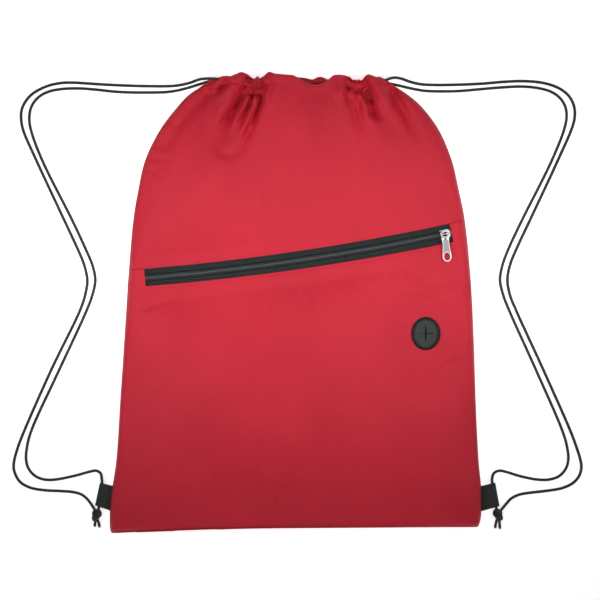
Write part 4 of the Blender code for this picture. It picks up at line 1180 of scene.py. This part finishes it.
def pocket_lining(material):
    """The sheet between the pocket and the main compartment, rising to the zip at its top."""
    inset = 4.5
    left = LEFT_LINE + np.array([inset, 0])
    right = RIGHT_LINE - np.array([inset, 0])
    bottom = BOTTOM_LINE + np.array([0, inset])
    bottom[:, 0] = np.linspace(left[0, 0], right[0, 0], len(bottom))
    wall = 12.0
    left_part = side_stretch(left, None, wall)
    right_part = side_stretch(right, None, wall)
    s_range = (arc_place(*left_part[-1])[0], arc_place(*right_part[-1])[0])
    top = np.array([arc_point(s, wall) for s in np.linspace(*s_range, 60)])
    left_part[0], right_part[0] = bottom[0], bottom[-1]
    u = soft_edges(80, 0.3)
    v = np.linspace(0, 1, 90)
    plane = patch(bottom, top, left_part, right_part, u, v)
    x, y = plane[..., 0], plane[..., 1]
    _, across = arc_place(x, y)
    gap, _ = line_distance(x, y, SEAM_LINE)
    low = box_mm("pocket_lining")[0].z
    z = low + 0.3 + 0.5 * waves(x, y, 40, 5.5) * np.clip(gap / 30, 0, 1)
    z += (TAPE_TOP - 1.6 - low) * smooth_step((across - 3) / 9)
    mesh = grid_mesh("pocket_lining_cloth", np.dstack([x, y, z]), cloth_uv(335, 280, u, v))
    edge_attribute(mesh, SEAM_LINE, SEAM_SHADE_AND_WEAR)
    made = add_object("pocket_lining_cloth", mesh, material)
    thicken(made, 0.4)
    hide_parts("pocket_lining")
    return made


def cloth():
    # Both cloths are painted darker along their seams and hem: painted shade, with a little rubbing.
    outer = woven_cloth("red_weave", RED, 0.0007, uv_vector, edge_shade_and_wear=0.9)
    dark = tinted(RED, 0.85)
    inner = woven_cloth("red_weave_inside", dark, 0.0007, uv_vector, roughness=0.7, edge_shade_and_wear=0.9)
    upper, front_tunnel = front_upper(outer)
    pocket = pocket_front(outer)
    back, back_tunnel = back_cloth(outer)
    lining = pocket_lining(inner)


# ---- Zip ----


def arc_sweep(profile, s_range, step):
    """A solid bar that follows the zip: profile is a closed ring of (across, z) points."""
    count = max(2, round((s_range[1] - s_range[0]) / step))
    arc = np.linspace(*s_range, count + 1)
    points = [(*arc_point(s, across), z) for s in arc for across, z in profile]
    sides = len(profile)
    ends = [ring_face(sides, 0), ring_face(sides, count, turned=True)]
    return points, ring_quads(sides, count + 1, turned=True) + ends


def zip_tape(name, sign, material):
    """Woven tape: raised ribs along it and a thicker beaded inner edge."""
    inner, outer = 0.5, 13.8
    tops = []
    for place in np.linspace(inner, outer, 56):
        rib = 0.07 * math.cos((place - 4.0) * 2 * math.pi / 1.45)
        groove = -0.18 * math.exp(-(((place - 7.4) / 0.25) ** 2))
        tops.append((sign * place, TAPE_TOP - 0.1 + rib + groove))
    profile = [*tops, (sign * outer, TAPE_TOP - 0.6), (sign * inner, TAPE_TOP - 0.6)]
    if sign < 0:
        profile = profile[::-1]
    mesh = joined_mesh(name + "_weave", [arc_sweep(profile, (-145.5, 145.5), 2.5)])
    made = add_object(name + "_weave", mesh, material)
    mesh.set_sharp_from_angle(angle=math.radians(50))
    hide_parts(name)


def coil_tooth(s, sign):
    """One turn of the coil: a flattened loop with a head that hooks past the middle."""
    route = [(3.0, -0.55), (3.15, 0.1), (2.6, 0.62), (1.3, 0.72), (0.1, 0.66), (-0.55, 0.3), (-0.45, -0.35)]
    radii = [0.30, 0.34, 0.34, 0.33, 0.36, 0.42, 0.3]
    middle = COIL_TOP - 1.05
    lean = 0.25
    path = []
    for across, up in smooth_points(route, 2):
        spot = arc_point(s + lean * (across / 3.0 - 0.5), sign * across)
        path.append((*spot, middle + up))
    radius = np.interp(np.linspace(0, 1, len(path)), np.linspace(0, 1, len(radii)), radii)
    return tube_parts(path, radius, 7)


def zip_teeth(name, sign, material):
    pitch = 1.22
    first = WINDOW_S[0] + 0.6 + (pitch / 2 if sign < 0 else 0)
    count = int((WINDOW_S[1] - 0.6 - first) / pitch)
    parts = [coil_tooth(first + number * pitch, sign) for number in range(count)]
    core = [(sign * x, COIL_TOP - 1.15 + sign * z) for x, z in oval(2.0, 0.0, 0.55, 0.4, 8)]
    parts.append(arc_sweep(core, (WINDOW_S[0] + 0.4, WINDOW_S[1] - 0.4), 2.5))
    mesh = joined_mesh(name + "_teeth", parts)
    # Marks the zip's middle line for the coil's painted highlight.
    edge_attribute(mesh, [arc_point(s) for s in np.linspace(*WINDOW_S, 60)], 0.45)
    made = add_object(name + "_teeth", mesh, material)
    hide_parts(name)


def stitch_row(name, spots, material, length=2.1, thickness=0.32, slot="red_cloth"):
    """A row of lockstitches: spots are (point, direction) pairs on the cloth."""
    parts = []
    for spot, direction in spots:
        direction = Vector(direction).normalized()
        half = direction * length / 2
        rise = Vector((0, 0, thickness * 0.5))
        route = [
            spot - half - rise, spot - half * 0.7 + rise * 0.2, spot + rise * 0.7,
            spot + half * 0.7 + rise * 0.2, spot + half - rise,
        ]
        parts.append(tube_parts([tuple(p) for p in route], thickness / 2, 6))
    return add_object(name, joined_mesh(name, parts), material)


def zip_and_seams():
    tape = ribbed_tape("black_tape", (0.010, 0.014, 0.014), 0.0012, 0, object_vector)
    coil = nylon_coil("black_nylon_coil", (0.014, 0.018, 0.018))
    thread = woven_cloth("red_thread", tinted(RED, 0.75), 0.0003, object_vector, sheen=0.4)
    black_thread = woven_cloth("black_thread", (0.02, 0.022, 0.022), 0.0003, object_vector, sheen=0.3)
    for side, sign in (("upper", 1), ("lower", -1)):
        zip_tape("zip_tape_" + side, sign, tape)
        zip_teeth("zip_coil_" + side, sign, coil)
    window_stitches = []
    for s in np.arange(WINDOW_S[0] - 1, WINDOW_S[1] + 1, 2.9):
        for across, level in ((window_low(s) - 2.3, FRONT_Z - 0.1), (WINDOW_HALF + 2.2, FRONT_Z - 0.25)):
            spot = arc_point(s, across)
            onward = arc_point(s + 1, across) - spot
            window_stitches.append((Vector((*spot, level)), (*onward, 0)))
    stitch_row("window_stitches", window_stitches, thread)
    coil_stitches = []
    for s in np.arange(WINDOW_S[0] + 1, WINDOW_S[1] - 1, 1.9):
        for sign in (1, -1):
            spot = arc_point(s, sign * 3.9)
            onward = arc_point(s + 1, sign * 3.9) - spot
            coil_stitches.append((Vector((*spot, TAPE_TOP + 0.1)), (*onward, 0)))
    stitch_row("coil_stitches", coil_stitches, black_thread, 1.5, 0.3, "zip_tape")


# ---- Slider, crown and pull ----

SLIDER_TURN = ARC_MIDDLE + SLIDER_S / ARC_RADIUS
TOP_WING = (18.4, 19.4)
LOWER_WING = (14.0, 15.1)
# The middle of the pull's eye, from the pivot.
EYE_Y = -20.9


def in_slider_frame(made, turn=SLIDER_TURN, origin=Vector((PIVOT.x, PIVOT.y, 0.0)), droop=0.0):
    """Moves a mesh drawn about the slider's middle to its place in the frame."""
    turned = Matrix.Rotation(turn, 4, "Z") @ Matrix.Rotation(droop, 4, "X")
    made.data.transform(Matrix.Translation(origin * MM) @ turned)


def bevelled(made, width, segments=3):
    modifier = made.modifiers.new("edges", "BEVEL")
    modifier.width = width * MM
    modifier.segments = segments
    modifier.limit_method = "ANGLE"
    modifier.angle_limit = math.radians(35)


def wing_outline(shrink=0.0):
    """The slider seen from above: a rounded shield, widest at its middle, notched at the closing end."""
    half = 4.9 - shrink
    right = [
        (-half + 0.8, 1.2 - shrink), (-half + 1.1, 1.9 - shrink), (-2.2, 3.2 - shrink), (0.2, 4.1 - shrink),
        (2.6, 4.35 - shrink), (3.9, 3.7 - shrink), (half, 2.5 - shrink), (half + 0.5, 1.6 - shrink),
        (half + 0.1, 0.8 - shrink / 2),
    ]
    return [*right, (half - 0.5, 0.0), *[(x, -y) for x, y in reversed(right)]]


def slab(outline, low, high):
    count = len(outline)
    points = [(x, y, low) for x, y in outline] + [(x, y, high) for x, y in outline]
    return points, [ring_face(count, 0, turned=True), ring_face(count, 1), *ring_quads(count, 2)]


def at_loop(loop, count):
    """The closed loop as this many points at even turns, the first one in the +x direction."""
    spots = at_shares([*loop, loop[0]], np.linspace(0, 1, 8 * count + 1)[:-1])
    angles = np.arctan2(spots[:, 1], spots[:, 0])
    turns = np.arange(count) * 2 * math.pi / count
    sizes = np.interp(turns, angles, np.hypot(spots[:, 0], spots[:, 1]), period=2 * math.pi)
    return [(size * math.cos(turn), size * math.sin(turn)) for size, turn in zip(sizes, turns)]


def slider(cast, bright):
    flanges = []
    for sign in (1, -1):
        ring = [(-4.5, sign * 3.25), (1.4, sign * 3.5), (1.4, sign * 4.2), (-4.5, sign * 3.9)]
        flanges.append(slab(ring[::-sign], TAPE_TOP + 0.3, TOP_WING[0] + 0.3))
    corners = [(-1.5, -0.22), (2.6, -0.22), (2.6, 0.22), (-1.5, 0.22)]
    post = slab(corners, LOWER_WING[1] - 0.2, TOP_WING[0] + 0.2)
    opening = [(-2.0, -2.2), (2.2, -2.2), (2.6, -0.6), (1.7, 1.2), (0.6, 2.0), (-0.8, 1.3), (-2.1, -0.4)]
    inner = at_loop(opening, 36)[::-1]
    outer = at_loop(wing_outline(), 36)[::-1]
    raised = at_loop([(x * 1.22, y * 1.22) for x, y in opening], 36)[::-1]
    parts = [
        ring_plate(outer, inner, *TOP_WING), ring_plate(raised, inner, TOP_WING[1] - 0.2, TOP_WING[1] + 0.35),
        slab(wing_outline(0.3)[::-1], *LOWER_WING), post, *flanges,
    ]
    mesh = joined_mesh("slider_body_cast", parts)
    body = add_object("slider_body_cast", mesh, cast, "zip_slider")
    in_slider_frame(body)
    bevelled(body, 0.22)
    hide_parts("slider_body")

    crown_route = [
        (-4.0, 0, TOP_WING[1] - 0.1), (-4.1, 0, 20.5), (-3.6, 0, 21.6), (-2.2, 0, PIVOT.z + 0.05),
        (2.2, 0, PIVOT.z + 0.05), (3.6, 0, 21.6), (4.1, 0, 20.5), (4.0, 0, TOP_WING[1] - 0.1),
    ]
    crown = joined_mesh("slider_crown_cast", [tube_parts(smooth_path(crown_route, 8, 0.3), 0.46, 14)])
    # The crown takes the bright copy of the plating: a painted highlight.
    crown = add_object("slider_crown_cast", crown, bright, "zip_slider")
    in_slider_frame(crown)
    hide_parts("slider_crown")


def pull_outline(grow=0.0, steps=21):
    """The pull's outline from above, knuckle at the top: waist, widening shank, round end."""
    side = [(1.5, 2.5), (2.6, 3.25), (4.2, 3.4), (8.0, 3.15), (12.0, 3.3), (16.5, 3.85)]
    left = [(-half - grow, -y) for y, half in side]
    right = [(half + grow, -y) for y, half in reversed(side)]
    end = []
    for step in range(steps):
        turn = math.pi * step / (steps - 1)
        end.append((-(4.3 + grow) * math.cos(turn), EYE_Y - (5.0 + grow) * math.sin(turn)))
    return [*left, *end, *right]


def ring_plate(outer, inner, low, high):
    """A flat ring between two loops with equally many points."""
    count = len(outer)
    points = [(x, y, z) for z in (low, high) for loop in (outer, inner) for x, y in loop]
    faces = []
    for k in range(count):
        after = (k + 1) % count
        o0, i0, o1, i1 = 0, count, 2 * count, 3 * count
        faces.append((o1 + k, o1 + after, i1 + after, i1 + k))
        faces.append((i0 + k, i0 + after, o0 + after, o0 + k))
        faces.append((o0 + k, o0 + after, o1 + after, o1 + k))
        faces.append((i1 + k, i1 + after, i0 + after, i0 + k))
    return points, faces


def knuckle_ring(low, high):
    """One of the pull's two rings round the crown, with softened rims."""
    count = 28
    profile = ((low, 1.2), (low, 1.6), (low + 0.2, 1.8), (high - 0.2, 1.8), (high, 1.6), (high, 1.2))
    points = [(x, *spot) for x, radius in profile for spot in oval(0, 0, radius, radius, count)]
    return points, ring_quads(count, len(profile), turned=True, closed=True)


def pull_tab(bright, shaded_plate):
    """Die-cast pull: thin raised rim, sunk middle, an oval eye, a small square slot and the knuckle."""
    half = 0.6
    wire = 0.5
    rim = smooth_path([(x, y, 0.0) for x, y in pull_outline(-wire)], 4, 0.35)
    inner = oval(0, EYE_Y, 2.85, 3.8, 44)
    outer = oval(0, EYE_Y, 3.7, 4.5, 44)
    parts = [tube_parts(rim, wire, 12), ring_plate(outer, inner, -half + 0.1, half - 0.15)]
    notch = [(3.3 * math.cos(t), EYE_Y + 4.15 * math.sin(t)) for t in np.radians(np.arange(150, 29, -10))]
    web = [(-2.95, -5.3), (-2.8, -8.0), (-2.95, -12.0), (-3.5, -16.5), (-3.6, -18.6), *notch]
    web += [(-x, y) for x, y in reversed(web[:5])]
    parts.append(slab(web, -0.45, 0.12))
    for sign in (-1, 1):
        cheek = [(sign * 0.95, -3.0), (sign * 2.9, -3.0), (sign * 2.9, -5.4), (sign * 0.95, -5.4)]
        parts.append(slab(cheek[::-sign], -0.45, 0.12))
    bar = [(-2.6, -2.5, 0.1), (0.0, -2.6, 0.2), (2.6, -2.5, 0.1)]
    parts.append(tube_parts(smooth_path(bar, 6, 0.4), 0.6, 12))
    parts += [knuckle_ring(-2.6, -1.45), knuckle_ring(1.45, 2.6)]
    mesh = joined_mesh("slider_pull_cast", parts)
    # The pull takes the bright copy of the plating (painted highlight), its sunk middle the darker copy
    # (painted shade).
    pull = add_object("slider_pull_cast", mesh, bright, "zip_pull")
    mesh.materials.append(shaded_plate)
    for face in mesh.polygons:
        spot = face.center / MM
        face.material_index = int(abs(spot.x) < 3.2 and -17.5 < spot.y < -5.2 and 0 < spot.z < 0.2)
    axis = Vector(joint("pull_lift")["axis"])
    in_slider_frame(pull, math.atan2(-axis.y, -axis.x), PIVOT, math.radians(7.6))
    pull.data.set_sharp_from_angle(angle=math.radians(40))
    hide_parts("slider_pull")


# ---- Port, tabs and stops ----


def cable_port(rubber, shaded_rubber):
    across = (PORT_HIGH.x - PORT_LOW.x) / 2
    along = (PORT_HIGH.y - PORT_LOW.y) / 2
    top = PORT_HIGH.z
    inside = PORT_LOW.z + 0.2
    steps = 72
    points = []
    profile = (
        (2.95, top - 0.62), (2.8, top - 0.75), (2.7, top - 1.35), (2.2, top - 1.35), (2.1, top - 0.6),
        (1.95, top - 0.15), (1.7, top), (1.2, top), (0.75, top - 0.1), (0.35, top - 0.35),
        (0.08, top - 0.75), (0.0, top - 1.15), (0.1, top - 1.4), (1.0, top - 1.5), (3.4, top - 1.5),
        (3.45, inside), (4.6, inside), (4.7, top - 3.6),
    )
    for inset, z in profile:
        points += [(*spot, z) for spot in oval(PORT.x, PORT.y, across - inset, along - inset, steps)]
    faces = ring_quads(steps, len(profile), turned=True)
    faces += [ring_face(steps, 0, turned=True), ring_face(steps, len(profile) - 1)]
    mesh = joined_mesh("cable_port_rubber", [(points, faces)])
    port = add_object("cable_port_rubber", mesh, rubber)
    bm = bmesh.new()
    bm.from_mesh(port.data)
    bmesh.ops.recalc_face_normals(bm, faces=bm.faces)
    bm.to_mesh(port.data)
    bm.free()
    slits = ((0.0, 6.0, 0.36, "slit_across"), (0.0, 0.72, 7.6, "slit_along"), (5.6, 0.8, 0.8, "slit_end"))
    for right, half_x, half_y, name in slits:
        corners = oval(PORT.x + right, PORT.y, half_x, half_y, 16)
        cutter = bpy.data.objects.new(name, joined_mesh(name, [slab(corners, top - 3.2, top + 2)]))
        bpy.context.scene.collection.objects.link(cutter)
        cut = port.modifiers.new(name, "BOOLEAN")
        cut.operation = "DIFFERENCE"
        cut.object = cutter
        apply_modifiers(port)
        bpy.data.objects.remove(cutter)
    port.data.set_sharp_from_angle(angle=math.radians(40))
    # Painted shade: the port's outer ring and the faces down in the slits get a darker, less shiny rubber,
    # standing for the shade there.
    port.data.materials.append(shaded_rubber)
    for face in port.data.polygons:
        away = face.center / MM - PORT
        rim = (away.x / (across - 1.5)) ** 2 + (away.y / (along - 1.5)) ** 2 > 1
        in_slit = math.hypot(away.x, away.y) < 8.2 and face.center.z / MM < top - 1.52
        face.material_index = int(rim or in_slit)
    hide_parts("cable_port")


def webbing_tab(name, sign, material):
    """Folded webbing with ribbed faces, a round fold and bound edges."""
    if sign < 0:
        corners = [(-168.0, -170.6), (-183.1, -167.2), (-170.0, -194.0), (-187.6, -187.9)]
    else:
        corners = [(167.0, -170.8), (183.6, -167.1), (168.0, -194.0), (187.6, -188.7)]
    root_top, fold_top, root_bottom, fold_bottom = [np.array(corner) for corner in corners]
    thick, loop, root_z, fold_z = 1.1, 3.4, 5.0, 3.2
    centre = []
    for share in np.linspace(0.02, 0.8, 16):
        ease = smooth_step(np.array((share - 0.32) / 0.26))
        centre.append((share, root_z + (fold_z - root_z) * ease, 0.62 + (loop / 2 + thick / 2 - 0.62) * ease))
    line = [(share, middle + half) for share, middle, half in centre]
    for turn in np.linspace(0, math.pi, 12)[1:-1]:
        line.append((0.8 + 0.17 * math.sin(turn), fold_z + (loop / 2 + thick / 2) * math.cos(turn)))
    line += [(share, middle - half) for share, middle, half in reversed(centre)]
    rows = []
    count = 44
    for number in range(count + 1):
        along = number / count
        root = root_top + (root_bottom - root_top) * along
        fold = fold_top + (fold_bottom - fold_top) * along
        rib = 0.07 * math.cos(number * 2 * math.pi / 4)
        row = []
        for share, z in line:
            spot = root + (fold - root) * share
            row.append((spot[0], spot[1], z + rib * (1 if z > (root_z + fold_z) / 2 else -1)))
        rows.append(row)
    uv = cloth_uv(34, 24, np.linspace(0, 1, len(line)), np.linspace(0, 1, count + 1))
    mesh = grid_mesh(name + "_webbing", rows, uv)
    made = add_object(name + "_webbing", mesh, material)
    thicken(made, thick, 0.0)
    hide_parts(name)


def small_parts():
    # One nickel plating in three tones: the bright copy paints highlights on the crown and the pull, the
    # middle one is the plating's own tone, and the sunk copy paints shade in the pull's sunk middle.
    bright = plated_metal("nickel_plate", (0.58, 0.58, 0.59), (0.80, 0.80, 0.80))
    cast = plated_metal("nickel_plate_cast", (0.28, 0.285, 0.30), (0.44, 0.44, 0.46))
    shaded_plate = plated_metal("nickel_plate_painted_shade", (0.24, 0.24, 0.26), (0.34, 0.34, 0.36))
    slider(cast, bright)
    pull_tab(bright, shaded_plate)
    rubber = moulded_rubber("black_rubber", (0.012, 0.018, 0.016), 0.42)
    # A darker, less shiny copy of the rubber that paints shade on the port's outer ring and in its slits.
    shaded_rubber = moulded_rubber("black_rubber_painted_shade", (0.005, 0.008, 0.008), 0.15)
    cable_port(rubber, shaded_rubber)
    webbing = ribbed_tape("black_webbing", (0.020, 0.022, 0.022), 0.0016, 0, uv_vector)
    webbing_tab("tab_left", -1, webbing)
    webbing_tab("tab_right", 1, webbing)
    for node, material in (("cable_port_washer", rubber), ("zip_bottom_stop", cast), ("zip_top_stop", cast)):
        kept = frame["nodes"][node]
        kept.data.materials.clear()
        kept.data.materials.append(material)


camera_and_studio()
cords()
cloth()
zip_and_seams()
small_parts()
